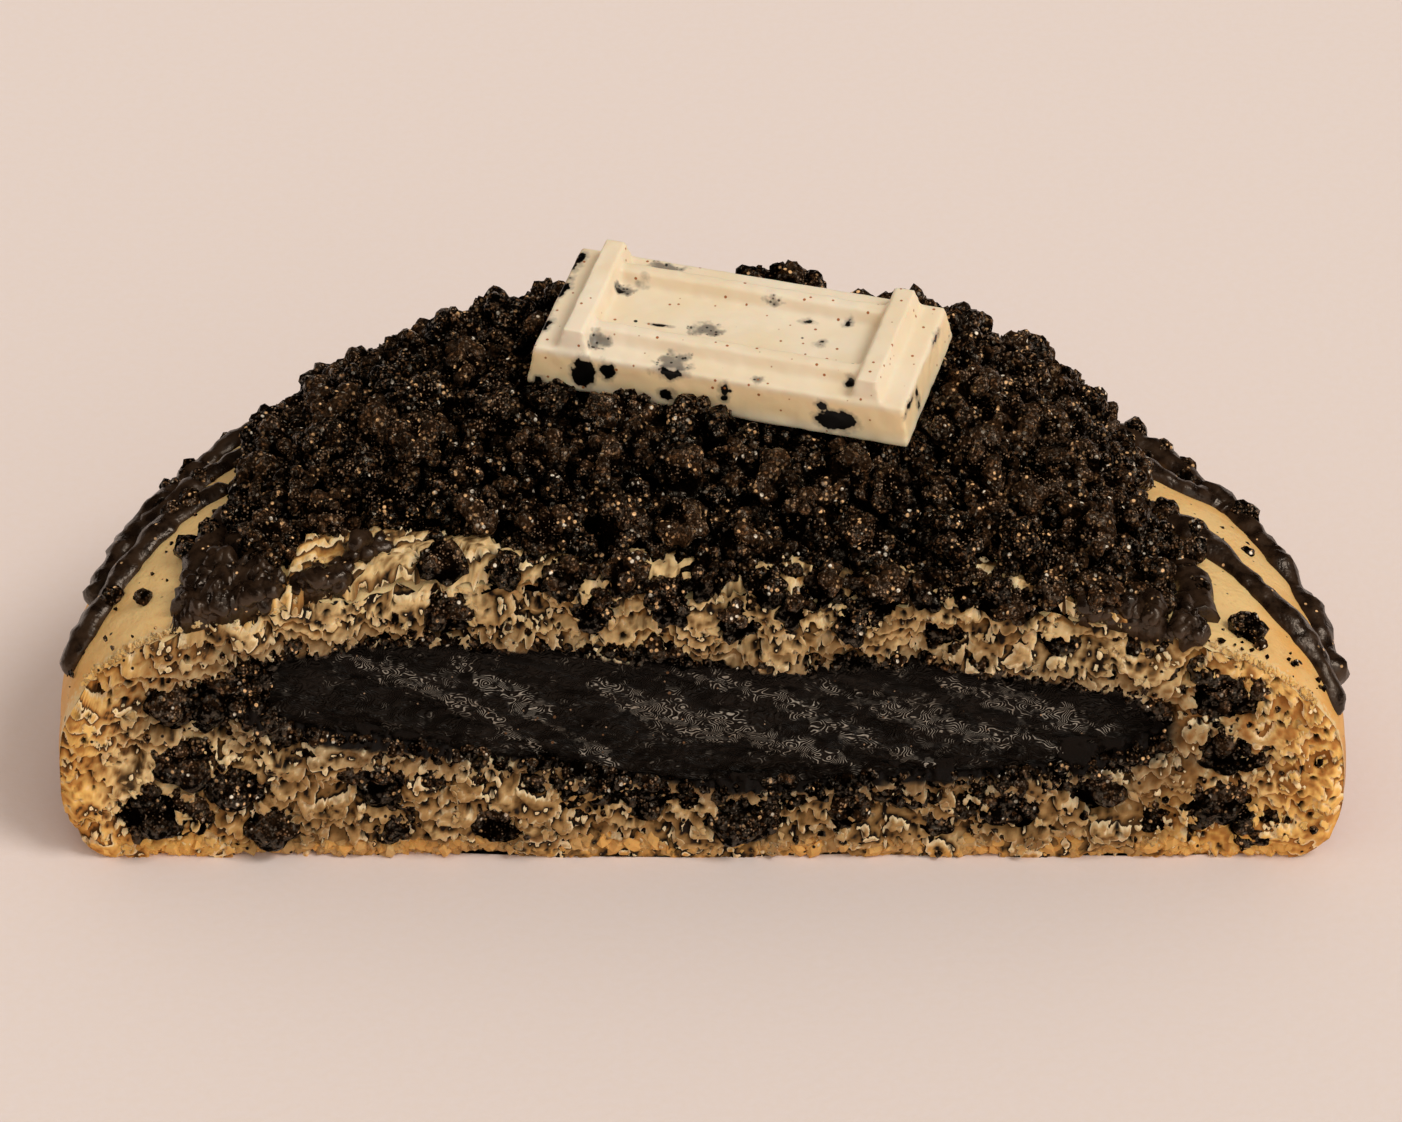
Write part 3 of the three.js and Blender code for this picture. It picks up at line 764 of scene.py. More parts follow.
# ---- Materials ----
class Finish:
    """The nodes of one material. Sizes are in millimetres, and most methods give a node's output."""

    def __init__(self, name, colour, sockets):
        self.material = bpy.data.materials.new(name)
        self.material.use_nodes = True
        self.tree = self.material.node_tree
        self.shader = self.tree.nodes["Principled BSDF"]
        for label, value in sockets.items():
            self.shader.inputs[label].default_value = value
        self.place = self.add("ShaderNodeTexCoord").outputs["Object"]
        self.colour = colour
        self.normal = None

    def add(self, kind, **settings):
        """A new node."""
        node = self.tree.nodes.new(kind)
        for label, value in settings.items():
            setattr(node, label, value)
        return node

    def feed(self, socket, value):
        """Gives a socket a link, a colour or a number."""
        if isinstance(value, bpy.types.NodeSocket):
            self.tree.links.new(value, socket)
        elif isinstance(value, Color):
            socket.default_value = (*value, 1.0)
        else:
            socket.default_value = value

    def value(self, label):
        """The value of that name that the piece's points carry, or 0."""
        return self.add("ShaderNodeAttribute", attribute_name=label).outputs["Fac"]

    def eased(self, label, most=1.0):
        """The value of that name, smooth from 0 to the most that it may be."""
        return self.band(self.value(label), 0.0, 1.0, 0.0, most)

    def math(self, operation, *numbers):
        """The result of one of the node's own operations."""
        node = self.add("ShaderNodeMath", operation=operation)
        for socket, number in zip(node.inputs, numbers):
            self.feed(socket, number)
        return node.outputs[0]

    def plus(self, first, second):
        return self.math("ADD", first, second)

    def times(self, first, *others):
        for other in others:
            first = self.math("MULTIPLY", first, other)
        return first

    def band(self, value, low, high, start=0.0, end=1.0):
        """Goes smoothly from start to end as the value goes from low to high."""
        node = self.add("ShaderNodeMapRange", interpolation_type="SMOOTHSTEP")
        for socket, number in zip(node.inputs, (value, low, high, start, end)):
            self.feed(socket, number)
        return node.outputs["Result"]

    def wave(self, grain, most, reach=0.2):
        """A grain stretched so that it swings from -most to most."""
        return self.band(grain, 0.5 - reach, 0.5 + reach, -most, most)

    def texture(self, kind, size, place=None):
        """A texture with features of that size."""
        node = self.add(kind)
        self.feed(node.inputs["Vector"], place or self.place)
        node.inputs["Scale"].default_value = 1000 / size
        return node

    def stretched(self, slant, along):
        """Places turned in the plane of the cut and drawn out along it."""
        node = self.add("ShaderNodeMapping")
        self.feed(node.inputs["Vector"], self.place)
        node.inputs["Rotation"].default_value = (0, math.radians(slant), 0)
        node.inputs["Scale"].default_value = (along, 1, 1)
        return node.outputs["Vector"]

    def grain(self, size, detail=3.0, rough=0.55, place=None):
        """Cloudy noise."""
        node = self.texture("ShaderNodeTexNoise", size, place)
        node.inputs["Detail"].default_value = detail
        node.inputs["Roughness"].default_value = rough
        return node.outputs["Fac"]

    def specks(self, size, reach, share):
        """1 on small round specks: that share of the cells has one, of that reach."""
        cell = self.texture("ShaderNodeTexVoronoi", size)
        chance = self.add("ShaderNodeSeparateColor")
        self.feed(chance.inputs[0], cell.outputs["Color"])
        present = self.math("LESS_THAN", chance.outputs[0], share)
        return self.times(self.band(cell.outputs["Distance"], reach, reach * 0.6), present)

    def mix(self, share, first, second):
        """A colour from the first at 0 to the second at 1."""
        node = self.add("ShaderNodeMix", data_type="RGBA")
        # The node has sockets for other kinds of value too, under the same names.
        for number, value in ((0, share), (6, first), (7, second)):
            self.feed(node.inputs[number], value)
        return node.outputs[2]

    def lay(self, share, colour):
        """Lays a colour over what is there, by a share from 0 to 1."""
        self.colour = self.mix(share, self.colour, colour)

    def emboss(self, height, depth):
        """Raises the surface by that depth where the height is 1."""
        node = self.add("ShaderNodeBump")
        node.inputs["Distance"].default_value = depth / 1000
        self.feed(node.inputs["Height"], height)
        if self.normal:
            self.feed(node.inputs["Normal"], self.normal)
        self.normal = node.outputs["Normal"]

    def done(self, roughness):
        """The material, with its colour, roughness and relief joined up."""
        self.feed(self.shader.inputs["Base Color"], self.colour)
        self.feed(self.shader.inputs["Roughness"], roughness)
        self.feed(self.shader.inputs["Normal"], self.normal)
        return self.material


def baked_crust(colours):
    """The smooth outer crust: pale on top, golden down the sides and brown at the foot."""
    sockets = {"Subsurface Weight": 0.15, "Subsurface Scale": 0.002}
    f = Finish("baked_crust", colours.crust_pale, sockets)
    patches, fine = f.grain(7.0, 4.0), f.grain(0.5, 4.0, 0.6)
    shade = f.plus(f.value("toast"), f.wave(patches, 0.14))
    f.lay(f.band(shade, 0.0, 0.5), colours.crust_golden)
    f.lay(f.band(shade, 0.5, 1.0), colours.crust_brown)
    f.lay(f.band(fine, 0.52, 0.75, 0.0, 0.3), colours.crust_brown)
    f.lay(f.band(f.plus(f.value("torn"), f.wave(fine, 0.4)), 0.3, 0.8), colours.crumb_light)
    f.lay(f.specks(2.2, 0.15, 0.5), colours.cocoa)
    f.lay(f.specks(1.0, 0.13, 0.2), colours.crumb_shadow)
    f.emboss(f.grain(2.4), 0.25)
    f.emboss(fine, 0.1)
    return f.done(f.band(patches, 0.3, 0.7, 0.48, 0.66))


def torn_crumb(colours):
    """Torn crumb: cream ridges, painted shade in hollows, creases and round pores, painted lit lips,
    stray cocoa.
    """
    sockets = {"Subsurface Weight": 0.12, "Subsurface Scale": 0.0004, "Specular IOR Level": 0.15}
    f = Finish("torn_crumb", colours.crumb_light, sockets)
    # Painted shade: deeper places turn warm, then dark; loose flakes and knobs carry a random tone
    # here.
    hollow = f.plus(f.value("hollow"), f.wave(f.grain(0.6, 4.0, 0.65), 0.1, 0.15))
    hollow = f.plus(hollow, f.wave(f.grain(3.4, 2.0), 0.15, 0.15))
    f.lay(f.band(hollow, 0.05, 0.65), colours.crumb_half_shade)
    f.lay(f.band(hollow, 0.4, 1.0), colours.crumb_shadow)
    # Painted shade, with random darker patches.
    f.lay(f.value("dim"), colours.crumb_dim)
    f.lay(f.eased("warm", 0.85), colours.crumb_golden)
    f.lay(f.eased("dirt", 0.75), colours.crumb_grey)
    f.lay(f.times(f.eased("foot", 0.8), f.band(hollow, 0.95, 0.45, 0.25, 1.0)), colours.crumb_foot)
    # Shelves of flakes one over another: a painted highlight on each lip, then painted shade
    # darkening up to the crease.
    share = f.math("FRACT", f.value("level"))
    f.lay(f.band(share, 0.28, 0.03, 0.0, 0.75), colours.crumb_lit_edge)
    # Painted shade under each lip, golden brown where the crumb is golden.
    deep = f.mix(f.value("warm"), colours.crumb_lip_shade, colours.crust_brown)
    f.lay(f.band(share, 0.24, 0.78, 0.0, 0.9), deep)
    # Painted shadow in the crease, weaker towards both ends.
    crease = f.times(f.band(share, 0.7, 0.92), f.band(f.value("gape"), 0.1, 1.0))
    f.lay(crease, colours.crumb_shadow)
    # Painted highlight on the flakes' thin rims.
    f.lay(f.band(f.value("edge"), 0.5, 1.0, 0.0, 0.4), colours.crumb_lit_edge)
    # Painted shade in the pores, and on the slope down to the filling.
    f.lay(f.value("pore"), colours.pore)
    f.lay(f.specks(0.75, 0.26, 0.1), colours.crumb_shadow)
    f.lay(f.specks(1.5, 0.15, 0.12), colours.cocoa)
    f.emboss(f.grain(0.4, 3.0, 0.6), 0.08)
    return f.done(0.72)


def dark_crumbs(name, colours, polished=0.24):
    """Dark cookie crumbs: near black, knobbly, painted browner where lit, with painted copper and
    pale glints.
    """
    f = Finish(name, colours.cocoa, {"Specular Tint": (1, 0.8, 0.58, 1)})
    lit = f.plus(f.value("lit"), f.wave(f.grain(0.8, 2.0), 0.2))
    knob = f.plus(f.value("knob"), f.wave(f.grain(0.5, 2.0), 0.2))
    # Random brown tone, painted lighter on each crumb's lit side and painted darker in its creases.
    brown_tone_and_light = f.plus(f.band(f.grain(0.42, 4.0, 0.7), 0.53, 0.72, 0.0, 0.95), f.eased("tint", 0.1))
    brown_tone_and_light = f.times(brown_tone_and_light, f.band(lit, 0.15, 0.95, 0.0, 1.3), f.band(knob, 0.2, 0.75, 0.1, 1.3))
    f.lay(brown_tone_and_light, colours.cocoa_brown)
    # Painted glints: a fine net of dull highlights on the lit side.
    glint_net = f.times(f.band(f.grain(2.1, 1.0), 0.42, 0.6, 0.0, 0.8), f.band(lit, 0.2, 0.8))
    f.lay(f.times(f.specks(0.24, 0.44, 0.42), glint_net), colours.dust_glint)
    # Painted copper and pale glints, on the lit knobs only.
    glint_patches = f.times(f.band(f.grain(2.6, 1.0), 0.42, 0.6, 0.2, 1.0), f.band(lit, 0.1, 0.6))
    glint_patches = f.times(glint_patches, f.band(knob, 0.15, 0.5))
    f.lay(f.times(f.specks(0.46, 0.44, 0.2), glint_patches), colours.copper_glint)
    f.lay(f.times(f.specks(0.52, 0.4, 0.09), glint_patches), colours.pale_glint)
    knobs = f.texture("ShaderNodeTexVoronoi", 0.5).outputs["Distance"]
    f.emboss(f.band(knobs, 0.75, 0.1), 0.4)
    f.emboss(f.grain(0.2, 3.0, 0.7), 0.06)
    polish = f.grain(0.7)
    shine = f.times(f.band(polish, 0.46, 0.58, 0.02, 1.0), f.band(knob, 0.2, 0.7))
    f.feed(f.shader.inputs["Specular IOR Level"], shine)
    return f.done(f.band(polish, 0.42, 0.6, 0.8, polished))


def fudge(colours):
    """The filling: a satin, nearly black fudge with fine slanting smears and painted highlights on
    fine lines.
    """
    sockets = {"Specular IOR Level": 0.16, "Specular Tint": (1, 0.9, 0.78, 1)}
    f = Finish("fudge", colours.filling, sockets)
    smears = f.grain(1.1, 4.0, 0.62, f.stretched(-20, 0.3))
    contour = f.grain(2.6, 2.0, 0.5, f.stretched(-24, 0.55))
    lines = f.math("SINE", f.times(contour, 260.0))
    broken = f.band(f.grain(0.6, 2.0), 0.36, 0.5)
    drawn = f.plus(f.value("drawn"), f.band(f.grain(1.3, 2.0), 0.35, 0.65, -0.5, 0.42))
    line_glints = f.times(f.band(lines, 0.4, 0.95), broken, f.band(drawn, 0.25, 0.7), 0.8)
    # Smears, painted a little lighter as a soft sheen.
    f.lay(f.band(smears, 0.4, 0.7), colours.filling_smear_sheen)
    f.lay(line_glints, colours.filling_glint)
    f.lay(f.specks(1.4, 0.12, 0.2), colours.cocoa_brown)
    # Painted glints.
    f.lay(f.specks(0.5, 0.2, 0.03), colours.dust_glint)
    f.emboss(smears, 0.5)
    f.emboss(lines, 0.06)
    return f.done(f.band(smears, 0.35, 0.65, 0.3, 0.55))


def set_chocolate(colours):
    """Chocolate that set in stripes: brown, satin and slightly lumpy, with a few painted copper
    glints.
    """
    sockets = {"Specular IOR Level": 0.6, "Specular Tint": (1, 0.8, 0.62, 1)}
    f = Finish("set_chocolate", colours.stripe, sockets)
    lumps = f.grain(1.6)
    f.lay(f.band(lumps, 0.35, 0.65), colours.stripe_light)
    # Painted glints in copper.
    glint_patches = f.band(f.grain(2.6, 1.0), 0.45, 0.6)
    f.lay(f.times(f.specks(0.46, 0.34, 0.06), glint_patches), colours.copper_glint)
    f.emboss(lumps, 0.25)
    f.emboss(f.grain(0.35), 0.04)
    return f.done(f.band(lumps, 0.3, 0.7, 0.24, 0.4))


def white_chocolate(colours):
    """White chocolate with cookie bits: creamy, slightly waxy, freckled, with painted warm bounce
    light on its sides.
    """
    sockets = {"Subsurface Weight": 0.2, "Subsurface Scale": 0.002, "Specular IOR Level": 0.4}
    f = Finish("white_chocolate", colours.tile, sockets)
    cloud, edge = f.grain(9.0, 2.0), f.grain(0.8, 2.0, 0.5)
    f.lay(f.band(cloud, 0.35, 0.65), colours.tile_warm)
    # Painted warm light bounced onto the sides, weaker at the very bottom.
    f.lay(f.eased("low"), colours.tile_bounce_light)
    ghost = f.plus(f.value("ghost"), f.wave(edge, 0.4, 0.3))
    f.lay(f.band(ghost, 0.45, -0.3, 0.0, 0.8), colours.tile_grey)
    f.lay(f.times(f.band(ghost, 0.4, 0.0, 0.0, 0.9), f.specks(0.42, 0.36, 0.55)), colours.cocoa)
    chip = f.plus(f.value("chip"), f.wave(edge, 0.25, 0.3))
    f.lay(f.band(chip, 0.5, 0.0, 0.0, 0.5), colours.tile_grey)
    f.lay(f.band(chip, 0.06, -0.05), colours.cocoa)
    f.lay(f.specks(0.95, 0.17, 0.5), colours.freckle)
    f.lay(f.specks(2.1, 0.1, 0.4), colours.cocoa)
    f.emboss(f.grain(3.0), 0.1)
    return f.done(f.band(cloud, 0.3, 0.7, 0.3, 0.44))


def pale_paper(colours):
    """The floor: plain matt paper."""
    f = Finish("pale_paper", colours.floor, {"Specular IOR Level": 0.2})
    tooth = f.grain(0.9, 3.0, 0.6)
    f.lay(f.band(tooth, 0.3, 0.7, 0.0, 0.06), colours.crumb_light)
    f.emboss(tooth, 0.03)
    return f.done(0.9)


# ---- Settings ----
class CookieSizes(bpy.types.PropertyGroup):
    crumb_detail: FloatProperty(
        name="Crumb detail",
        description="Spacing of the points on the torn cut face",
        default=0.00019,
        min=0.0001,
        unit="LENGTH",
    )
    crumb_relief: FloatProperty(
        name="Crumb relief",
        description="How strongly the torn crumb stands in and out, where 1 is as baked",
        default=1.0,
        min=0.0,
        max=1.5,
    )
    flake_count: IntProperty(
        name="Flakes",
        description="Loose flakes of crumb that stand out of the cut face",
        default=700,
        min=1,
    )
    clump_radius: FloatProperty(
        name="Clump radius",
        description="Radius of the heap's largest clumps",
        default=0.00245,
        min=0.001,
        unit="LENGTH",
    )
    grain_count: IntProperty(
        name="Grains",
        description="Loose grains that lie on the heap's clumps",
        default=4800,
        min=0,
    )
    tile_rounding: IntProperty(
        name="Tile rounding",
        description="How many times the white chocolate's edges are smoothed",
        default=5,
        min=0,
    )


def colour_setting(label, description, value):
    return FloatVectorProperty(
        name=label, description=description, subtype="COLOR", min=0, max=1, default=tone(*value)
    )


class CookieColours(bpy.types.PropertyGroup):
    crust_pale: colour_setting("Pale crust", "Crust on the top of the dough", (236, 195, 128))
    crust_golden: colour_setting("Golden crust", "Crust down the sides", (226, 162, 78))
    crust_brown: colour_setting("Brown crust", "Crust at the foot", (178, 112, 48))
    crumb_light: colour_setting("Light crumb", "Ridges of the torn crumb", (230, 194, 136))
    # Painted highlight on the lips and thin rims of the flakes.
    crumb_lit_edge: colour_setting("Flake edges", "Thin rims of the crumb's flakes", (252, 226, 180))
    # Painted half shade, on the slopes down into the crumb's hollows.
    crumb_half_shade: colour_setting("Warm crumb", "Slopes of the torn crumb", (186, 130, 64))
    crumb_golden: colour_setting("Golden crumb", "Crumb that baked near the crust", (240, 184, 94))
    crumb_foot: colour_setting("Foot crumb", "Crumb that baked on the tray", (224, 162, 80))
    # Painted shade, low on the cut.
    crumb_dim: colour_setting("Dim crumb", "Crumb below the filling", (170, 130, 80))
    # Painted shade under the lip of each flake.
    crumb_lip_shade: colour_setting("Deep crumb", "Crumb under the lip of a flake", (108, 74, 34))
    crumb_shadow: colour_setting("Shaded crumb", "Hollows of the torn crumb", (28, 16, 6))
    # Crumb near the filling, greyer and darker.
    crumb_grey: colour_setting("Greyed crumb", "Crumb that the knife smeared", (124, 102, 76))
    # Painted shade in the crumb's small holes.
    pore: colour_setting("Pores", "Small holes in the crumb", (20, 11, 4))
    cocoa: colour_setting("Cocoa", "The darkest cookie crumbs", (4, 2, 1))
    # Brown tone of the crumbs, painted lighter on their lit side; it also colours specks in the
    # filling.
    cocoa_brown: colour_setting("Brown cocoa", "Worn faces of the cookie crumbs", (118, 82, 53))
    # Painted glints: copper, pale and fine dull highlights, on the crumbs, the filling and the
    # stripes.
    copper_glint: colour_setting("Copper glint", "Sugar that shines through cocoa", (255, 200, 140))
    pale_glint: colour_setting("Pale glint", "Bare sugar grains", (255, 238, 212))
    dust_glint: colour_setting("Dust glint", "The finest grains of sugar", (172, 138, 108))
    filling: colour_setting("Filling", "The chocolate filling", (14, 8, 4))
    # Smears painted a little lighter, as a soft sheen.
    filling_smear_sheen: colour_setting("Smeared filling", "Smears on the filling", (24, 16, 10))
    # Painted highlights along the knife's fine lines.
    filling_glint: colour_setting("Drawn filling", "Fine lines that the knife drew", (176, 164, 148))
    stripe: colour_setting("Stripe", "Chocolate stripes", (26, 15, 8))
    stripe_light: colour_setting("Light stripe", "Paler places in the stripes", (54, 36, 22))
    tile: colour_setting("White chocolate", "The white chocolate", (242, 224, 196))
    tile_warm: colour_setting("Warm white chocolate", "Its warmer clouds", (238, 216, 180))
    # Painted warm light bounced from the crumbs onto the tile's sides.
    tile_bounce_light: colour_setting("Low white chocolate", "Its sides, near the crumbs", (246, 214, 164))
    tile_grey: colour_setting("Veiled bits", "Cookie bits under a white film", (96, 90, 84))
    freckle: colour_setting("Freckles", "Tiny brown specks", (166, 96, 44))
    floor: colour_setting("Floor", "The floor's paper", (236, 219, 210))


# ---- The torn crumb ----
def crumb_relief(x, z, slant=0.5):
    """How far the torn crumb stands out at a place, how much of a pore it is, and its shelf.

    Shelves with scalloped edges lie one under another like shingles, each tilted up to the light.
    """
    wx = x + 0.9 * (noise(x / 1.5, z / 1.5, 71) - 0.5)
    wz = z + 0.9 * (noise(x / 1.5, z / 1.5, 72) - 0.5)
    lobe, bead = cells(wx, wz, 0.85, 85)[0], cells(x, z, 0.45, 86)[0]
    rise = slant * z
    level = rise + 2.5 * noise(wx / 3.5, wz / 2.5, 84) + 0.8 * noise(wx / 1.3, wz / 1.1, 83)
    level -= 0.85 * lobe + 0.3 * bead
    share = level % 1
    shelf = level - share + between(share, 0, 0.15) - rise
    height = facets(wx, wz, 3.1, 81, 0.5, 0.7) + 0.8 * shelf - 0.3 * lobe - 0.45
    height += 0.5 * (noise(x / 7, z / 6, 91) - 0.5)
    away, _, _, key = cells(wx, wz, 1.1, 94)
    pore = (key < 0.32) * between(away, 0.22 + 0.4 * key, 0.12 + 0.3 * key)
    return height - 0.6 * pore, pore, level


def sunken(height, rows, reach):
    """How far each place of a grid lies behind the ones beside and above it."""
    grid = height.reshape(rows, -1)
    beside = sum(np.roll(grid, n, 1) for n in range(-reach, reach + 1)) / (2 * reach + 1)
    above = sum(np.roll(beside, -n, 0) for n in range(2 * reach)) / (2 * reach)
    return (above - grid).ravel()


def nearest(x, z, line):
    """Distance from each place of the cut to the nearest point of a line in its plane."""
    found = []
    for start in range(0, len(x), PLACES_AT_ONCE):
        part = slice(start, start + PLACES_AT_ONCE)
        gaps = (x[part, None] - line[:, 0]) ** 2 + (z[part, None] - line[:, 1]) ** 2
        found.append(np.sqrt(gaps.min(axis=1)))
    return np.concatenate(found)


def cut_values(x, z):
    """How near a place of the cut is to its outline, and values that colour the crumb there."""
    outline = cut_columns(0.5)
    to_top = nearest(x, z, np.stack([outline, top_of_cut(outline)], -1))
    to_foot = nearest(x, z, np.stack([outline, foot_of_cut(outline)], -1))
    rim, aside = np.minimum(to_top, to_foot), np.abs(x)
    wobble = 0.8 + 0.5 * noise(x / 2.2, z / 2.2, 97)
    near_rim = between(rim, (7 + 5 * between(x, 0, 30)) * wobble, 0.5)
    patches = 1.2 * (noise(x / 2.4, z / 1.7, 98) - 0.45) * between(x, 50, 40)
    return rim, {
        "warm": near_rim * between(z, 30, 12) * between(aside, 34, 47),
        "foot": between(to_foot, 1.7 * wobble, 0.3) * between(z, 9, 3),
        # Greyer and darker near the filling.
        "dirt": 0.75 * between(beyond_filling(x, z), 3.2 * wobble, 0.2),
        # Painted shade low down away from the ends; the crumb is also darker high up and in random
        # patches.
        "dim": between(z, 13, 6) * between(aside, 51, 42) + 0.35 * between(z, 17, 22) + patches,
        # Strength of the painted crease shadow, weaker towards both ends, most at the right.
        "gape": 1.1 - 0.7 * between(x, 30, 42) - 0.35 * between(x, -30, -42),
    }


def torn_face(x, z, strength):
    """How far the torn face stands in front of the cut, with its rim held in, and its values."""
    rim, values = cut_values(x, z)
    height, pore, values["level"] = crumb_relief(x, z)
    values["pore"] = pore * between(rim, 0.4, 1.0)
    at_foot = between(z, 3, 1.5)
    height = height * strength * (0.4 + 0.6 * np.maximum(0.7 * at_foot, between(rim, 0.2, 1.2)))
    height = np.minimum(height, 1.6 - 0.7 * at_foot)
    to_chunk = nearest(x, z, np.array(CHUNKS)[:, :2]) - 2.0
    height -= 1.1 * between(to_chunk, 0.5, -0.4)
    height -= 0.25 * between(rim, 0.6, 0.0)
    below = between(z - filling_middle(x), 0.5, -1.5)
    height -= (2.6 - 1.4 * below) * between(beyond_filling(x, z), 0.1, -0.9)
    return height, values


def crumb_face(sizes):
    """The torn face of the cut, open where the filling lies."""
    spacing = sizes.crumb_detail * 1000
    columns = cut_columns(spacing)
    rows = int(28 / spacing)
    low, high = foot_of_cut(columns), top_of_cut(columns) - edge_drop(columns)
    z = (low + (high - low) * np.linspace(0, 1, rows)[:, None]).ravel()
    x = np.tile(columns, rows)
    height, values = torn_face(x, z, sizes.crumb_relief)
    beyond = beyond_filling(x, z)
    sunk = sunken(crumb_relief(x, z)[0], rows, 3)
    # Painted shade where the crumb lies behind its neighbours and those above, and where it is deep.
    hollow = between(sunk, -0.25, 0.55) + 0.3 * between(height, 0.2, -1.2) - 0.25
    # Painted shade in the gaps at the foot.
    hollow += 0.5 * between(z, 1.8, 0.6)
    # Painted shade low down, away from the ends.
    hollow += 0.3 * between(z, 10, 5) * between(np.abs(x), 48, 42)
    values["hollow"] = hollow
    # Painted shade on the slope down to the filling, in the pores' colour.
    values["pore"] = np.maximum(values["pore"], between(beyond, 0.3, 0.0))
    faces = grid_faces(rows, len(columns))
    keep = (beyond >= -1.6)[faces].any(axis=1)
    return tidy_grid(np.stack([x, CUT_Y - height, z], -1), faces, keep, values)


def crumb_flakes(sizes, random):
    """Loose flakes that stand out of the face, and more of them along its upper rim."""
    shapes, faces, near_rim = flake_shapes(14, random)
    count = sizes.flake_count
    x, z = random.uniform(-54, 54, count), random.uniform(0.8, 29, count)
    radius = random.uniform(0.3, 0.75, count)
    rim = np.where(np.abs(x) < 46, 0.1 + 0.3 * radius, 0.5 + 0.5 * radius)
    inside = (z < top_of_cut(x) - rim) & (z > foot_of_cut(x) + 0.3 + 0.5 * radius)
    inside &= beyond_filling(x, z) > 0.25
    rim_x = random.uniform(31, 52.3, RIM_FLAKES) * np.sign(random.random(RIM_FLAKES) - 0.5)
    x, z = np.append(x[inside], rim_x), np.append(z[inside], top_of_cut(rim_x) - 0.12)
    radius = np.append(radius[inside], random.uniform(0.28, 0.55, RIM_FLAKES))
    height, values = torn_face(x, z, sizes.crumb_relief)
    # Each flake has a random tone, no painted shade in pores, and no painted lip or crease.
    values |= {"hollow": random.uniform(-0.3, 0.3, len(x)), "pore": 0, "level": LIP_LEVEL}
    flat = np.stack([radius, radius * 0.8, radius * random.uniform(0.6, 1, len(x))], -1)
    places = np.stack([x, CUT_Y - height - 0.12, z], -1)
    turned = tilts(random, len(x), -0.7, 0.25)
    points, faces, values = strewn(shapes, faces, places, flat, random, values, turned)
    # Painted highlight on each flake's thin rim.
    values["edge"] = np.tile(near_rim, len(x))
    return points, faces, values


def crumb_over_edge(sizes):
    """Torn crumb that goes on over the upper edge, up to the heap."""
    across, back = np.arange(-39, 39.1, 0.26), np.arange(0, 8.1, 0.26)
    x, y = (v.ravel() for v in np.meshgrid(across, CUT_Y + 0.1 + back))
    shape, pore, level = crumb_relief(x + 40, y * 1.3, 0.1)
    shape += 0.4
    reach = 0.4 + 7 * between(np.abs(x), 37, 32) * (0.75 + 0.5 * noise(x / 2.4, y / 2.4, 53))
    sink = between(y - CUT_Y, reach - 0.8, reach)
    z = torn_dome(x, y) + 0.7 * shape + 0.45 - 2.2 * sink - 1.1 * between(y - CUT_Y, 0.3, 0.1)
    front, _ = torn_face(x, z, sizes.crumb_relief)
    points = np.stack([x, y - (front + 0.15) * between(y - CUT_Y, 1.8, 0.1), z], -1)
    # A little painted shade all over, and a weaker painted crease shadow.
    values = {"pore": pore, "level": level, "gape": 0.7, "dim": 0.1}
    values["warm"] = between(np.abs(x), 20, 40) * 0.7
    # Painted shade where the crumb lies behind its neighbours.
    values["hollow"] = 0.9 * between(sunken(shape, len(back), 2), -0.3, 0.7) - 0.3
    faces = grid_faces(len(back), len(across))
    keep = (sink < 0.98)[faces].any(axis=1) & (heap_inside(x, y) < 3.5)[faces].all(axis=1)
    return tidy_grid(points, faces, keep, values)


def foot_knobs(sizes, random):
    """Rough golden knobs along the foot."""
    x = random.uniform(-51, 51, FOOT_KNOBS)
    radius = random.uniform(0.32, 0.85, FOOT_KNOBS)
    z = foot_of_cut(x) + radius * 0.9 + random.random(FOOT_KNOBS) ** 2 * 0.9
    height, values = torn_face(x, z, sizes.crumb_relief)
    # Each knob has a random tone.
    values |= {
        "hollow": random.uniform(-0.3, 0.95, FOOT_KNOBS),
        "foot": random.uniform(0.2, 1.0, FOOT_KNOBS),
        "pore": 0,
        "level": LIP_LEVEL,
    }
    shapes, faces = crumb_shapes(2, 12, random, 0.7, 0.1, 0.7, 0.7)
    places = np.stack([x, CUT_Y - 0.25 * height + 0.25 * radius, z], -1)
    points, faces, values = strewn(shapes, faces, places, radius, random, values)
    points[:, 2] = np.maximum(points[:, 2], 0.02)
    return points, faces, values


def make_crumb(scene):
    random, sizes = np.random.default_rng(21), scene.cookie_sizes
    finish = torn_crumb(scene.cookie_colours)
    for name, form, smooth in (
        ("torn_crumb_face", crumb_face(sizes), True),
        ("torn_crumb_flakes", crumb_flakes(sizes, random), True),
        ("torn_crumb_top", crumb_over_edge(sizes), True),
        ("foot_knobs", foot_knobs(sizes, random), False),
    ):
        piece(name, form, finish, ["cookie_dough"], smooth)


# ---- The crust ----
def crust_rings(spacing, bearings):
    """Distances from the middle of the cut, ring by ring, out over the top and back underneath.

    Rings on the top have no level of their own, and lie on the dome.
    """
    columns = cut_columns(spacing)
    reach = columns[columns >= 0][::3]
    reach = np.append(reach, columns[-1]) if reach[-1] != columns[-1] else reach
    shares = reach / reach[-1]
    shares[0] = 0.001
    rings = [(outline_reach(bearings, RADIUS) * share, None) for share in shares]
    for a in np.linspace(math.pi / 2, 0, 12)[1:]:
        radius = BASE_RADIUS + (RADIUS - BASE_RADIUS) * math.sin(a)
        rings.append((outline_reach(bearings, radius), WIDEST_Z * (1 - math.cos(a))))
    foot = outline_reach(bearings, BASE_RADIUS)
    return rings + [(foot * share, 0.0) for share in (0.75, 0.5, 0.25, 0.01)]


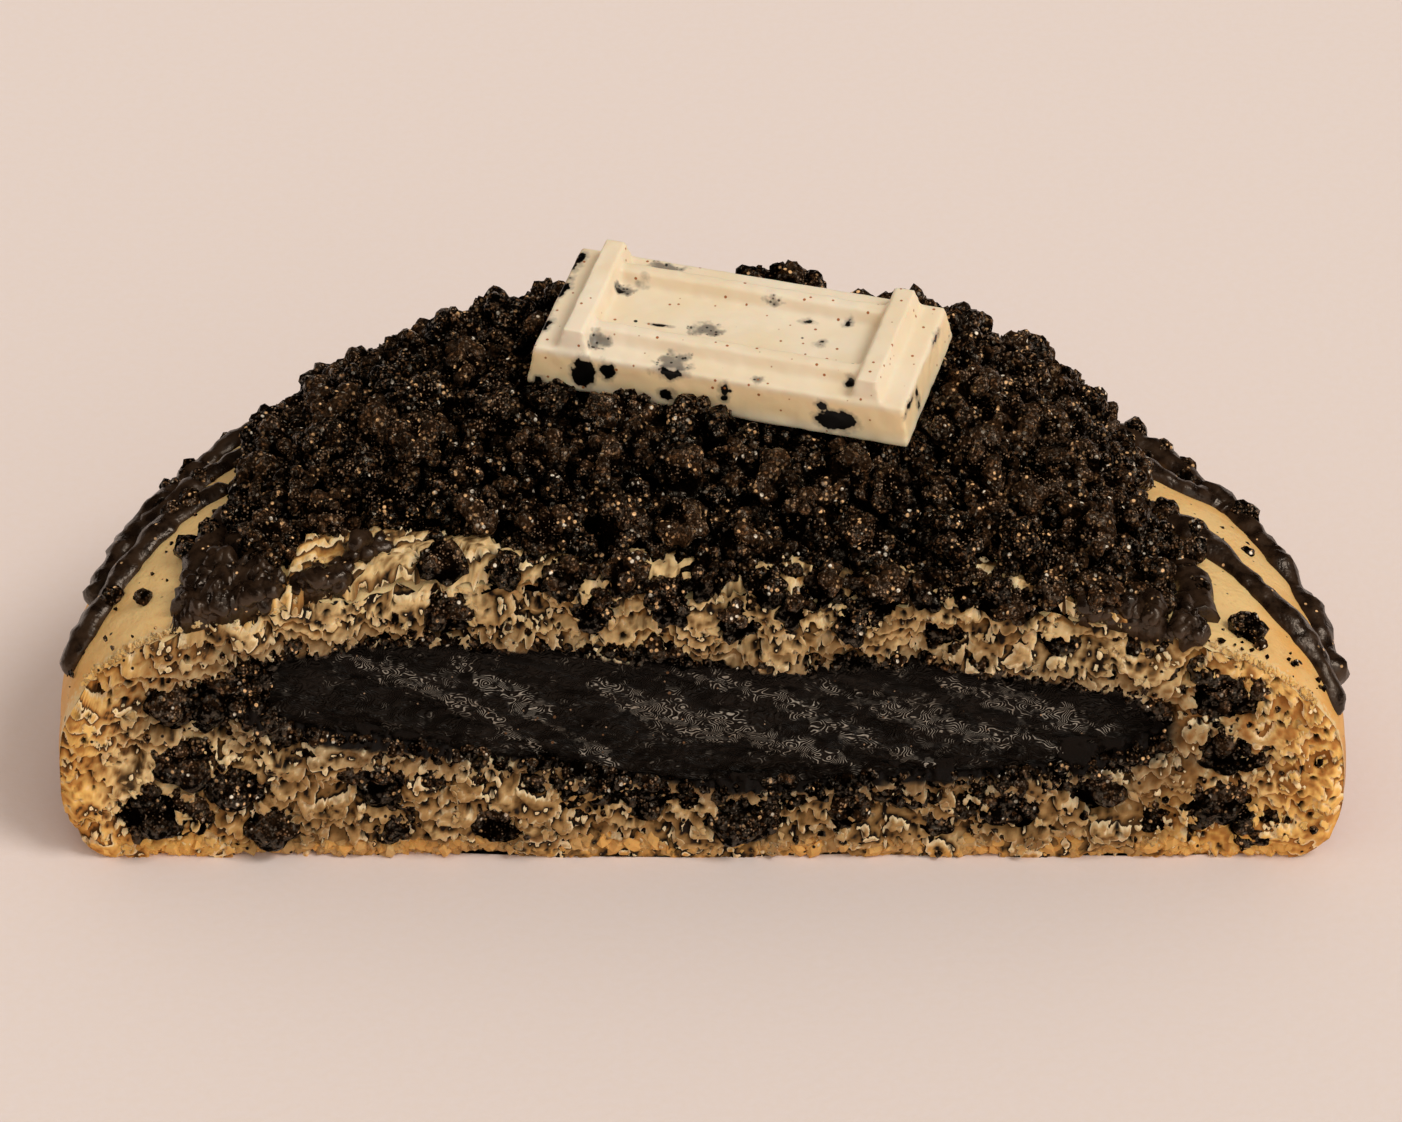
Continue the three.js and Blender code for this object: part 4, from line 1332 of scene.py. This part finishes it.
def ring_points(distance, level, bearings):
    """Points of the crust on one ring."""
    x, y = distance * np.cos(bearings), CUT_Y + distance * np.sin(bearings)
    z = torn_dome(x, y) if level is None else level * (1 + lift(x, y) / TOP_Z)
    return np.stack([x, y, z], -1)[:, 0]


def make_crust(scene):
    sizes = scene.cookie_sizes
    bearings = np.linspace(0, math.pi, 190)[:, None]
    rings = crust_rings(sizes.crumb_detail * 1000, bearings)
    points = np.stack([ring_points(*ring, bearings) for ring in rings], 1).reshape(-1, 3)
    uneven = 0.3 * (noise_in_space(points + 90, 4.5, 5) - 0.5)
    uneven += 0.12 * (noise_in_space(points + 90, 1.4, 6) - 0.5)
    uneven *= between(points[:, 2], 0.2, 2.5) * between(points[:, 1] - CUT_Y, 0.0, 2.0)
    points += unit(points - [0, CENTRE_Y, WIDEST_Z]) * uneven[:, None]
    height, _ = torn_face(points[:, 0], points[:, 2], sizes.crumb_relief)
    points[:, 1] -= height * between(points[:, 1] - CUT_Y, 1.4, 0.0)
    z = points[:, 2]
    toast = 0.85 * between(z, 17, 1.5) + 0.3 * between(z, 27, 15)
    values = {"toast": toast, "torn": between(points[:, 1] - CUT_Y, 1.3, 0.1)}
    form = points, grid_faces(len(bearings), len(rings)), values
    piece("dough_crust", form, baked_crust(scene.cookie_colours), ["cookie_dough"])


# ---- The filling ----
def drawn_share(x, z):
    """How much of the knife's fine lines, painted as highlights, a place on the filling has."""
    drawn = np.zeros(len(x))
    for x0, z0, x1, z1, wide in DRAWN:
        run = np.array([x1 - x0, z1 - z0])
        t = np.clip(((x - x0) * run[0] + (z - z0) * run[1]) / (run @ run), 0, 1)
        off = np.hypot(x - x0 - t * run[0], z - z0 - t * run[1])
        drawn = np.maximum(drawn, 1 - off / (1.4 * wide * (0.5 + 0.5 * np.sin(math.pi * t))))
    return drawn


def make_filling(scene):
    half_width = math.sqrt(FILLING_RADIUS**2 - (CENTRE_Y - CUT_Y) ** 2)
    turn = np.linspace(-math.pi / 2, math.pi / 2, 320)
    columns = (half_width + 0.3) * (0.75 * turn / (math.pi / 2) + 0.25 * np.sin(turn))
    rows = 64
    reach = filling_half(np.clip(columns, -half_width, half_width)) + 0.5
    z = (filling_middle(columns) + reach * np.linspace(-1, 1, rows)[:, None]).ravel()
    x = np.tile(columns, rows)
    inner = -beyond_filling(x, z)
    along, across = x - 0.35 * z, z + 0.36 * x
    height = 0.75 * (noise(along / 15, across / 2.4, 31) - 0.5)
    height += 0.42 * (noise(along / 6, across / 0.95, 33) - 0.5)
    height += 0.24 * (noise(along / 2.4, across / 0.42, 35) - 0.5)
    height += 0.12 * (noise(x / 0.5, z / 0.5, 37) - 0.5)
    height = height * between(inner, -0.4, 1.2) + 0.15
    height -= 1.9 * (1 - between(inner, -0.7, 0.9)) ** 1.5
    values = {"drawn": drawn_share(x, z) * between(inner, 0.2, 1.2)}
    form = np.stack([x, CUT_Y - height, z], -1), grid_faces(rows, len(columns)), values
    piece("filling_face", form, fudge(scene.cookie_colours), ["chocolate_filling"])


# ---- Dark crumbs in the cut ----
def baked_in_form(shapes, faces, rows, random):
    """Cookie pieces that sit in the cut, each turned in its own way."""
    forms = []
    for x, z, wide, tall in rows:
        shape = shapes[int(random.integers(len(shapes)))]
        turned = shape @ np.array(Euler(random.uniform(0, 6, 3)).to_matrix())
        values = {"tint": np.full(len(shape), random.random()), "knob": standing_out(shape)}
        # Painted light: each piece is painted browner, with glints, on the side that faces the light.
        values["lit"] = 0.14 + 0.55 * turned @ LIT_WAY
        half = np.array([wide, wide, tall]) * 0.56
        forms.append((turned * half + [x, CUT_Y + 0.28 * wide, z], faces, values))
    return joined(*forms)


def crowd_spots(random):
    """Crowds of crumbs, then a fringe round the filling: places on the cut, and radii."""
    spots, radii = [], []
    for middle, level, wide, tall, few, largest in CROWDS:
        count = 3 * few // 2 + 2
        way, reach = random.uniform(0, 2 * math.pi, count), 1.12 * random.random(count) ** 0.6
        radii.append(1.12 * largest * random.uniform(0.45, 1.0, count))
        x, z = middle + wide * reach * np.cos(way), level + tall * reach * np.sin(way)
        spots.append(np.stack([x, z], -1))
    turn = random.uniform(0, 2 * math.pi, FRINGE_CRUMBS)
    x, side = FILLING_RADIUS * 0.99 * np.cos(turn), np.sign(np.sin(turn))
    radii.append(0.22 + 0.6 * random.random(FRINGE_CRUMBS) ** 2)
    below, above = random.uniform(-0.5, 0.7, FRINGE_CRUMBS), random.uniform(-0.2, 0.9, FRINGE_CRUMBS)
    z = filling_middle(x) + side * filling_half(x) + side * np.where(side < 0, below, above)
    spots.append(np.stack([x, z], -1))
    return np.concatenate(spots), np.concatenate(radii)


def crowd_form(sizes, random):
    """The crowds and the fringe, whose crumbs grew together and stand out of the face."""
    spots, radius = crowd_spots(random)
    forward = np.zeros(len(radius))
    forward[-FRINGE_CRUMBS:] = 0.45
    keep = within_cut(*spots.T, radius) & (beyond_filling(*spots.T) > -0.5)
    (x, z), radius, forward = spots[keep].T, radius[keep], forward[keep]
    height, _ = torn_face(x, z, sizes.crumb_relief)
    depth = CUT_Y - 0.5 * np.clip(height, -0.6, 0.6) + 0.35 * radius - forward
    places = np.stack([x, depth, z], -1)
    forms = []
    for level, group in ((2, radius < 0.5), (3, radius >= 0.5)):
        shapes, faces = crumb_shapes(level, 12, random, 0.36, 0.24, 0.5, 0.24)
        forms.append(strewn(shapes, faces, places[group], radius[group], random))
    points, faces, values = joined(*forms)
    # Less painted light on these crumbs in the cut.
    values["lit"] *= 0.6
    return points, faces, values


def bits_form(sizes, random):
    """Small bits in the crumb, thickest round the filling and the larger pieces."""
    x, z = random.uniform(-54, 54, BIT_TRIES), random.uniform(0.4, 29, BIT_TRIES)
    beyond = beyond_filling(x, z)
    to_chunk = nearest(x, z, np.array(CHUNKS + SMALL_CHUNKS)[:, :2]) - 2.2
    chance = 0.035 + 0.35 * between(beyond, 2.0, 0.1) + 0.12 * between(to_chunk, 1.6, 0.2)
    keep = within_cut(x, z, 0.5) & (beyond > -0.5) & (random.random(BIT_TRIES) < chance)
    x, z = x[keep], z[keep]
    height, _ = torn_face(x, z, sizes.crumb_relief)
    radius = 0.14 + 0.36 * random.random(len(x)) ** 2.2
    shapes, faces = crumb_shapes(1, 8, random, 0.6, 0.0, 0.8, 0.5)
    return strewn(shapes, faces, np.stack([x, CUT_Y - height - 0.1, z], -1), radius, random)


def make_chunks(scene):
    random, sizes = np.random.default_rng(33), scene.cookie_sizes
    finish = dark_crumbs("baked_in_cocoa", scene.cookie_colours, 0.3)
    shapes, faces = crumb_shapes(4, 9, random, 0.28, 0.2, 0.5, 0.1)
    nodes = [f"cookie_chunk_{n + 1:02d}" for n in range(len(CHUNKS))]
    piece("baked_in_pieces", baked_in_form(shapes, faces, CHUNKS, random), finish, nodes)
    piece("baked_in_crumbs", baked_in_form(shapes, faces, SMALL_CHUNKS, random), finish)
    piece("baked_in_crowds", crowd_form(sizes, random), finish)
    piece("baked_in_bits", bits_form(sizes, random), finish, smooth=False)


# ---- Chocolate stripes and pools ----
def stripe_way(row, t):
    """Bearing and share of the radius along a stripe."""
    start, tip, _ = row
    bearing = start[0] + (tip[0] - start[0]) * t + 1.2 * np.sin(7 * t + start[0])
    return bearing, start[1] + (tip[1] - start[1]) * t**0.8


def stripe_form(row, random):
    """A lumpy cord of chocolate that lies on the crust and thins out at both ends."""
    t, a = np.linspace(0, 1, 90), np.linspace(0, 2 * math.pi, 14, endpoint=False)
    path = dome_point(*stripe_way(row, t), 0.0)
    up = unit(dome_point(*stripe_way(row, t), 1.0) - path)
    side = np.cross(unit(np.gradient(path, axis=0)), up)
    seed = int(random.integers(1, 500))
    travel = np.cumsum(np.linalg.norm(np.diff(path, axis=0, prepend=path[:1]), axis=1))
    swell = 1 + 0.5 * (ripple(travel, 2.6, seed) - 0.5) + 0.16 * (ripple(travel, 0.9, seed + 1) - 0.5)
    ends = np.sqrt(np.clip(np.minimum(t, 1 - t) * 28, 0, 1))
    width = 0.98 * row[2] * swell * (0.25 + 0.75 * ends)
    ragged = 1 + 0.3 * (noise(travel[:, None] / 0.9, a[None] * 2, seed + 3) - 0.5)
    wide = (width[:, None] * ragged * np.cos(a))[..., None] * side[:, None]
    tall = (width[:, None] * ragged * np.sin(a) * 0.85)[..., None] * up[:, None]
    ring = np.arange(len(t) - 1)[:, None] * len(a)
    first = (ring + np.arange(len(a))).ravel()
    after = (ring + np.roll(np.arange(len(a)), -1)).ravel()
    faces = np.stack([first, after, after + len(a), first + len(a)], -1)
    points = (path[:, None] + wide + tall).reshape(-1, 3)
    return points, faces, {"tint": np.full(len(points), random.random())}


def pool_form(low, high):
    """Pools along a stretch of the cut: their tops, and cut faces that hang over the crumb."""
    across, back = np.arange(low, high, 0.16), np.arange(0, 11, 0.2)
    x, y = np.meshgrid(across, CUT_Y - 0.5 + back)
    bend = 0.9 * (noise(x / 1.3, y / 1.3, 54) - 0.5) + 0.5 * (cells(x, y, 1.1, 59)[0] - 0.4)
    thick = np.full(x.shape, -1.0)
    for middle, behind, wide, deep, tall in POOLS:
        share = np.hypot((x - middle) / wide + bend, (y - behind) / deep + bend)
        crown = np.sqrt(np.maximum(0, 1 - share**2))
        thick = np.maximum(thick, tall * np.where(share < 1, crown, 1 - share))
    thick += facets(x, y, 1.2, 55, 0.4, 0.6) + 0.3 * (noise(x / 0.5, y / 0.6, 56) - 0.5)
    base = dome_height(x, np.maximum(y, CUT_Y))
    drop = 1.2 * ripple(x[0], 1.1, 57) + 0.6 * ripple(x[0], 0.4, 58)
    lip = np.stack([x[0], y[0], base[0] - drop], -1)
    rows = [lip + [0, 0.9, 0.1], lip, *np.stack([x, y, base + thick], -1)]
    faces = grid_faces(len(rows), len(across))
    depth = np.concatenate([thick[:1], thick[:1], thick]).ravel()
    return tidy_grid(np.concatenate(rows), faces, (depth > -0.35)[faces].all(axis=1))


def lumps_form(random):
    """Rough lumps that sit in the pools."""
    x, y, wide, deep, tall = np.repeat(np.array(POOLS), LUMPS_A_POOL, axis=0).T
    way, reach = random.uniform(0, 2 * math.pi, len(x)), np.sqrt(random.random(len(x)))
    x = x + wide * reach * np.cos(way)
    y = np.maximum(CUT_Y + 0.1, y + deep * reach * np.sin(way))
    size = random.uniform(0.5, 1.2, len(x))
    z = dome_height(x, y) + tall * np.sqrt(np.maximum(0, 1 - reach**2)) - 0.2 * size
    shapes, faces = crumb_shapes(3, 10, random, 0.5, 0.2, 0.6, 0.3)
    return strewn(shapes, faces, np.stack([x, y, z], -1), size, random)


def make_stripes(scene):
    random, finish = np.random.default_rng(44), set_chocolate(scene.cookie_colours)
    for name, form in (
        ("chocolate_stripes", joined(*(stripe_form(row, random) for row in STRIPES))),
        ("coated_lumps", lumps_form(random)),
        ("chocolate_pools", joined(pool_form(-47.0, -25.5), pool_form(31.0, 44.0))),
    ):
        piece(name, form, finish, ["cookie_dough"])


# ---- The heap of crumbs ----
def heap_core():
    """The heap's uneven ground, which the clumps hide."""
    x, y = np.meshgrid(np.arange(-47, 47.1, 0.55), np.arange(CUT_Y - 0.3, 22, 0.55))
    faces = grid_faces(*x.shape)
    x, y = x.ravel(), y.ravel()
    inside = heap_inside(x, y)
    rough = 0.8 * noise(x / 1.3, y / 1.3, 63) + 0.5 * noise(x / 0.6, y / 0.6, 64)
    z = dome_height(x, y) + np.where(inside < 0, np.maximum(inside, -3), heap_depth(x, y) - 2.3)
    z = np.minimum(z - heap_dip(x, y), heap_limit(x, y) - 1.0)
    points = np.stack([x, y, z + rough - 0.5], -1)
    u, v, up = tile_space(points).T
    covered = (np.abs(u) < TILE_SIZE[0] / 2) & (np.abs(v) < TILE_SIZE[1] / 2)
    points[:, 2] -= np.where(covered, np.maximum(0, up + 0.2), 0)
    # Painted shade: the ground under the clumps is painted unlit, so it stays near black.
    return tidy_grid(points, faces, (inside > -1.6)[faces].all(axis=1), {"lit": -0.2, "knob": 0.2})


def heap_places(random, count, smallest, largest, proud):
    """Places on the heap for clumps, the largest clump first, and their radii."""
    radius = np.sort(random.uniform(smallest, largest, count))[::-1]
    x, y = random.uniform(-47, 47, count), random.uniform(CUT_Y, 21, count)
    inside = heap_inside(x, y)
    over = np.where(inside > 0, heap_depth(x, y), 0.9 * np.exp(inside))
    z = dome_height(x, y) + over + proud * radius - heap_dip(x, y)
    places = np.stack([x, y, np.minimum(z, heap_limit(x, y) - 0.5 * radius)], -1)
    keep = (inside > 0.3 * radius) & (y > CUT_Y + 0.35 * radius)
    return places[keep], radius[keep]


def large_clumps(random, largest):
    """The clumps of the front edge, those that lean on the tile, and as many as fit beside them."""
    x, z, front_radii = np.array(FRONT_CLUMPS).T
    behind = between(z, top_of_cut(x) - 1, top_of_cut(x) + 3)
    front = np.stack([x, CUT_Y - 0.5 + 1.6 * behind, z], -1)
    places, radii = heap_places(random, LARGE_CLUMP_TRIES, 0.66 * largest, largest, -0.28)
    chosen = apart(places, radii, 0.93, front, front_radii)
    places, radii = places[chosen], radii[chosen]
    clear = ~under_tile(places, radii)
    leaning = np.array(TILE_CLUMPS)
    banked = leaning[:, :3] @ TILE_MATRIX.T + TILE_PLACE
    radii = np.concatenate([front_radii, leaning[:, 3], radii[clear]])
    return np.vstack([front, banked, places[clear]]), radii


def small_clumps(random, largest, big, big_radii, left_over):
    """The large clumps that are left over, and small ones that fit between the large ones."""
    places, radii = heap_places(random, SMALL_CLUMP_TRIES, 0.28 * largest, 0.55 * largest, -1.35)
    chosen = apart(places, radii, 0.76, big, big_radii)
    places = np.vstack([big[left_over], places[chosen]])
    radii = np.concatenate([big_radii[left_over], radii[chosen]])
    clear = ~under_tile(places, radii)
    return places[clear], radii[clear]


def grain_form(random, count, hosts, host_radii):
    """Grains that lie on the clumps, and between them."""
    picked = random.choice(len(hosts), count, p=host_radii**2 / (host_radii**2).sum())
    way = unit(random.normal(size=(count, 3)))
    way[:, 2] = np.abs(way[:, 2]) * 0.9 - 0.1
    radius = 0.15 + 0.38 * random.random(count) ** 1.8
    places = hosts[picked] + way * (host_radii[picked] * 1.02)[:, None]
    clear = ~under_tile(places, radius)
    shapes, faces = crumb_shapes(1, 12, random, 0.45, 0.0, 1.0, 0.4)
    return strewn(shapes, faces, places[clear], radius[clear] * 1.25, random)


def make_heap(scene):
    random, sizes = np.random.default_rng(55), scene.cookie_sizes
    largest = sizes.clump_radius * 1000
    big, big_radii = large_clumps(random, largest)
    shapes, faces = crumb_shapes(4, 14, random, 0.34, 0.3, 0.34, 0.24)
    order = np.argsort(-big_radii)
    shown, left_over = order[:LARGE_CLUMPS], order[LARGE_CLUMPS:]
    stretch = random.uniform(0.85, 1.15, (len(shown), 3)) * big_radii[shown][:, None] / 1.1
    large = strewn(shapes, faces, big[shown], stretch, random)

    places, radii = small_clumps(random, largest, big, big_radii, left_over)
    shapes, faces = crumb_shapes(3, 14, random, 0.36, 0.28, 0.45, 0.3)
    stretch = (random.uniform(0.85, 1.2, (len(places), 3)) * radii[:, None])[:SMALL_CLUMPS]
    small = strewn(shapes, faces, places[:SMALL_CLUMPS], stretch, random)

    hosts, host_radii = np.vstack([big, places]), np.concatenate([big_radii, radii])
    grains = grain_form(random, sizes.grain_count, hosts, host_radii)

    # Smaller crumbs lie deeper, where less light reaches them.
    for (_, _, values), shade in ((small, 0.25), (grains, 0.12)):
        values["lit"] -= shade
    finish = dark_crumbs("cookie_crumbs", scene.cookie_colours)
    for name, form, smooth in (
        ("heap_core", heap_core(), True),
        ("heap_large_clumps", large, True),
        ("heap_small_clumps", small, True),
        ("heap_grains", grains, False),
    ):
        piece(name, form, finish, ["crumb_topping"], smooth)


# ---- Loose crumbs on the crust ----
def stray_places(random):
    """Places on the crust, thickest round the heap and the stripes, and radii."""
    bearing, share = random.uniform(-6, 186, STRAY_TRIES), random.uniform(0.62, 0.985, STRAY_TRIES)
    chance = 0.05 + 0.5 * np.exp(-np.maximum(0, share - 0.76) * 34)
    for start, tip, _ in STRIPES:
        t = np.clip((share - start[1]) / (tip[1] - start[1] + 1e-6), 0, 1)
        middle = start[0] + (tip[0] - start[0]) * t ** (1 / 0.8)
        chance += 0.25 * np.exp(-(((bearing - middle) / 2.6) ** 2)) * (share > start[1])
    keep = random.random(STRAY_TRIES) < chance
    bearing, share = bearing[keep], share[keep]
    radius = 0.15 + 0.65 * random.random(len(share)) ** 2.6
    radius *= 1 - 0.5 * between(share, 0.86, 0.92)
    places = dome_point(bearing, share, radius * 0.45)
    clear = places[:, 1] > CUT_Y + 0.3
    clear &= (radius < 0.4) | (random.random(len(radius)) < 0.35)
    return places[clear], radius[clear]


def make_strays(scene):
    random = np.random.default_rng(66)
    places, radius = stray_places(random)
    stuck = [dome_point(bearing, share, 0.55 * size) for bearing, share, size in LOOSE]
    for which, t, aside, size in STUCK:
        bearing, share = stripe_way(STRIPES[which], t)
        stuck.append(dome_point(bearing + aside, share, 0.35 * STRIPES[which][2] + 0.1 * size))
    coarse = crumb_shapes(3, 10, random, 0.36, 0.26, 0.5, 0.24)
    fine = crumb_shapes(1, 10, random, 0.6, 0.0, 0.8, 0.4)
    large = radius > 0.42
    big = np.vstack([places[large], stuck])
    big_radii = np.append(radius[large], [row[-1] for row in LOOSE + STUCK])
    form = joined(
        strewn(*coarse, big, big_radii, random),
        strewn(*fine, places[~large], radius[~large], random),
    )
    piece("stray_crumbs", form, dark_crumbs("stray_crumbs", scene.cookie_colours))


# ---- The white chocolate ----
def tile_block(shape, size, place, draft):
    """A block on its own base whose sides lean in, added to a bmesh, in millimetres."""
    for v in bmesh.ops.create_cube(shape, size=1.0)["verts"]:
        side = Vector([math.copysign(1, c) for c in v.co])
        lean = draft if side.z > 0 else 0.0
        v.co.x = place[0] + side.x * (size[0] / 2 - lean)
        v.co.y = place[1] + side.y * (size[1] / 2 - lean)
        v.co.z = place[2] + (size[2] if side.z > 0 else 0.0)


def tile_blocks():
    """The slab and its raised frame, as blocks that reach into one another."""
    long, wide, slab = TILE_SIZE
    mesh, shape = bpy.data.meshes.new("tile_form"), bmesh.new()
    tile_block(shape, TILE_SIZE, (0, 0, 0), TILE_DRAFT)
    sink = 0.5
    for side in (-1, 1):
        bar, rail = (3.0, wide - 1.4, 1.9 + sink), (long - 8, 2.4, 1.2 + sink)
        tile_block(shape, bar, (side * (long / 2 - 4.0), 0, slab - sink), TILE_DRAFT)
        tile_block(shape, rail, (0, side * (wide / 2 - 3.6), slab - sink), TILE_DRAFT)
    shape.to_mesh(mesh)
    shape.free()
    return mesh


def soft_tile(rounding):
    """The points and faces of the moulded tile, in one skin with soft edges."""
    helper = linked("tile_form", tile_blocks())
    remesh = helper.modifiers.new("one_skin", "REMESH")
    remesh.mode = "VOXEL"
    remesh.voxel_size = 0.2
    soft = helper.modifiers.new("soft_edges", "SMOOTH")
    soft.factor = 0.5
    soft.iterations = rounding
    bpy.context.view_layer.update()
    mesh = helper.evaluated_get(bpy.context.evaluated_depsgraph_get()).to_mesh()
    points = np.empty(len(mesh.vertices) * 3)
    mesh.vertices.foreach_get("co", points)
    faces = np.array([f.vertices[:] for f in mesh.polygons])
    helper.to_mesh_clear()
    bpy.data.objects.remove(helper)
    return points.reshape(-1, 3), faces


def from_bits(points, bits):
    """Rough distance from each point to the nearest of the cookie bits, less than 0 inside."""
    nearest_bit = np.full(len(points), 5.0)
    for place, half in bits:
        away = np.linalg.norm((points - np.array(place)) / np.array(half), axis=1) - 1
        nearest_bit = np.minimum(nearest_bit, away * float(np.median(half)))
    return nearest_bit


def make_tile(scene):
    points, faces = soft_tile(scene.cookie_sizes.tile_rounding)
    warp = np.stack([noise_in_space(points + 60, 0.9, seed) - 0.5 for seed in (3, 4, 5)], -1)
    share = points[:, 2] / TILE_SIZE[2]
    values = {
        "chip": from_bits(points + 0.35 * warp, TILE_CHIPS),
        "ghost": from_bits(points + 0.6 * warp, TILE_GHOSTS),
        # Where the painted bounce light lies: on the sides, weaker at the very bottom.
        "low": between(share, 1.0, 0.75) * (1 - 0.6 * between(share, 0.5, 0.1)),
    }
    form = (points + 0.1 * warp) @ TILE_MATRIX.T + TILE_PLACE, faces, values
    piece("white_segment", form, white_chocolate(scene.cookie_colours), ["white_tile"])


# ---- The stage ----
def make_floor(colours):
    mesh = bpy.data.meshes.new("paper_floor")
    corners = [(x * FLOOR_HALF, y * FLOOR_HALF, 0) for x, y in ((-1, -1), (1, -1), (1, 1), (-1, 1))]
    mesh.from_pydata(corners, [], [(0, 1, 2, 3)])
    mesh.materials.append(pale_paper(colours))
    floor = linked("paper_floor", mesh)


def make_light(scene):
    """An even sky, a broad key from above on the right, and a softer fill from in front."""
    world = bpy.data.worlds.new("studio")
    scene.world = world
    world.use_nodes = True
    sky = world.node_tree.nodes["Background"]
    sky.inputs["Color"].default_value = (1.0, 0.94, 0.87, 1)
    sky.inputs["Strength"].default_value = 0.555
    world.cycles_visibility.glossy = False
    for name, energy, angle, way in (
        ("soft_key", 1.36, 24, (-0.55, 0.3, -0.8)),
        ("front_fill", 0.5, 50, (-0.5, 0.8, -0.42)),
    ):
        lamp = bpy.data.lights.new(name, "SUN")
        lamp.energy = energy
        lamp.angle = math.radians(angle)
        lamp.color = (0.985, 0.99, 1.0)
        linked(name, lamp).rotation_euler = Vector(way).to_track_quat("-Z", "Y").to_euler()


def make_stage(scene):
    make_floor(scene.cookie_colours)
    make_light(scene)
    lens = bpy.data.cameras.new("camera")
    lens.lens = LENS
    lens.sensor_width = 36
    lens.clip_end = 20
    scene.camera = linked("camera", lens)
    scene.camera.location = CAMERA_PLACE
    scene.camera.rotation_euler = (math.radians(90 - CAMERA_DOWN), 0, 0)
    scene.view_settings.view_transform = "Standard"


# ---- Operators ----
class COOKIE_OT_stage(bpy.types.Operator):
    """Set up the floor, the studio light and the camera"""

    bl_idname = "cookie.stage"
    bl_label = "Stage"

    def execute(self, context):
        make_stage(context.scene)
        return {"FINISHED"}


class COOKIE_OT_crust(bpy.types.Operator):
    """Bake the dough's crust"""

    bl_idname = "cookie.crust"
    bl_label = "Crust"

    def execute(self, context):
        make_crust(context.scene)
        return {"FINISHED"}


class COOKIE_OT_crumb(bpy.types.Operator):
    """Tear the crumb on the cut face, and stand flakes on it"""

    bl_idname = "cookie.crumb"
    bl_label = "Torn crumb"

    def execute(self, context):
        make_crumb(context.scene)
        return {"FINISHED"}


class COOKIE_OT_filling(bpy.types.Operator):
    """Spread the chocolate filling"""

    bl_idname = "cookie.filling"
    bl_label = "Filling"

    def execute(self, context):
        make_filling(context.scene)
        return {"FINISHED"}


class COOKIE_OT_chunks(bpy.types.Operator):
    """Bake cookie pieces, crumbs and bits into the cut face"""

    bl_idname = "cookie.chunks"
    bl_label = "Baked-in pieces"

    def execute(self, context):
        make_chunks(context.scene)
        return {"FINISHED"}


class COOKIE_OT_stripes(bpy.types.Operator):
    """Pour the chocolate stripes and the pools at the cut's edge"""

    bl_idname = "cookie.stripes"
    bl_label = "Chocolate stripes"

    def execute(self, context):
        make_stripes(context.scene)
        return {"FINISHED"}


class COOKIE_OT_heap(bpy.types.Operator):
    """Heap the cookie crumbs: a core, clumps and grains"""

    bl_idname = "cookie.heap"
    bl_label = "Crumb heap"

    def execute(self, context):
        make_heap(context.scene)
        return {"FINISHED"}


class COOKIE_OT_strays(bpy.types.Operator):
    """Strew loose crumbs on the crust"""

    bl_idname = "cookie.strays"
    bl_label = "Loose crumbs"

    def execute(self, context):
        make_strays(context.scene)
        return {"FINISHED"}


class COOKIE_OT_tile(bpy.types.Operator):
    """Mould the white chocolate segment"""

    bl_idname = "cookie.tile"
    bl_label = "White chocolate"

    def execute(self, context):
        make_tile(context.scene)
        return {"FINISHED"}


MAKERS = (
    COOKIE_OT_stage,
    COOKIE_OT_crust,
    COOKIE_OT_crumb,
    COOKIE_OT_filling,
    COOKIE_OT_chunks,
    COOKIE_OT_stripes,
    COOKIE_OT_heap,
    COOKIE_OT_strays,
    COOKIE_OT_tile,
)


class COOKIE_PT_panel(bpy.types.Panel):
    """Lists the cookie's pieces and settings"""

    bl_idname = "COOKIE_PT_panel"
    bl_label = "Stuffed cookie"
    bl_space_type = "VIEW_3D"
    bl_region_type = "UI"
    bl_category = "Cookie"

    def draw(self, context):
        column = self.layout.column(align=True)
        for maker in MAKERS:
            column.operator(maker.bl_idname)
        for group in (context.scene.cookie_sizes, context.scene.cookie_colours):
            column.separator()
            for label in group.__annotations__:
                column.prop(group, label)


CLASSES = (CookieSizes, CookieColours, *MAKERS, COOKIE_PT_panel)


def register():
    for cls in CLASSES:
        bpy.utils.register_class(cls)
    bpy.types.Scene.cookie_sizes = PointerProperty(type=CookieSizes)
    bpy.types.Scene.cookie_colours = PointerProperty(type=CookieColours)


def unregister():
    del bpy.types.Scene.cookie_colours
    del bpy.types.Scene.cookie_sizes
    for cls in reversed(CLASSES):
        bpy.utils.unregister_class(cls)


def main():
    register()
    for maker in MAKERS:
        getattr(bpy.ops.cookie, maker.bl_idname.removeprefix("cookie."))()


if __name__ == "__main__":
    main()
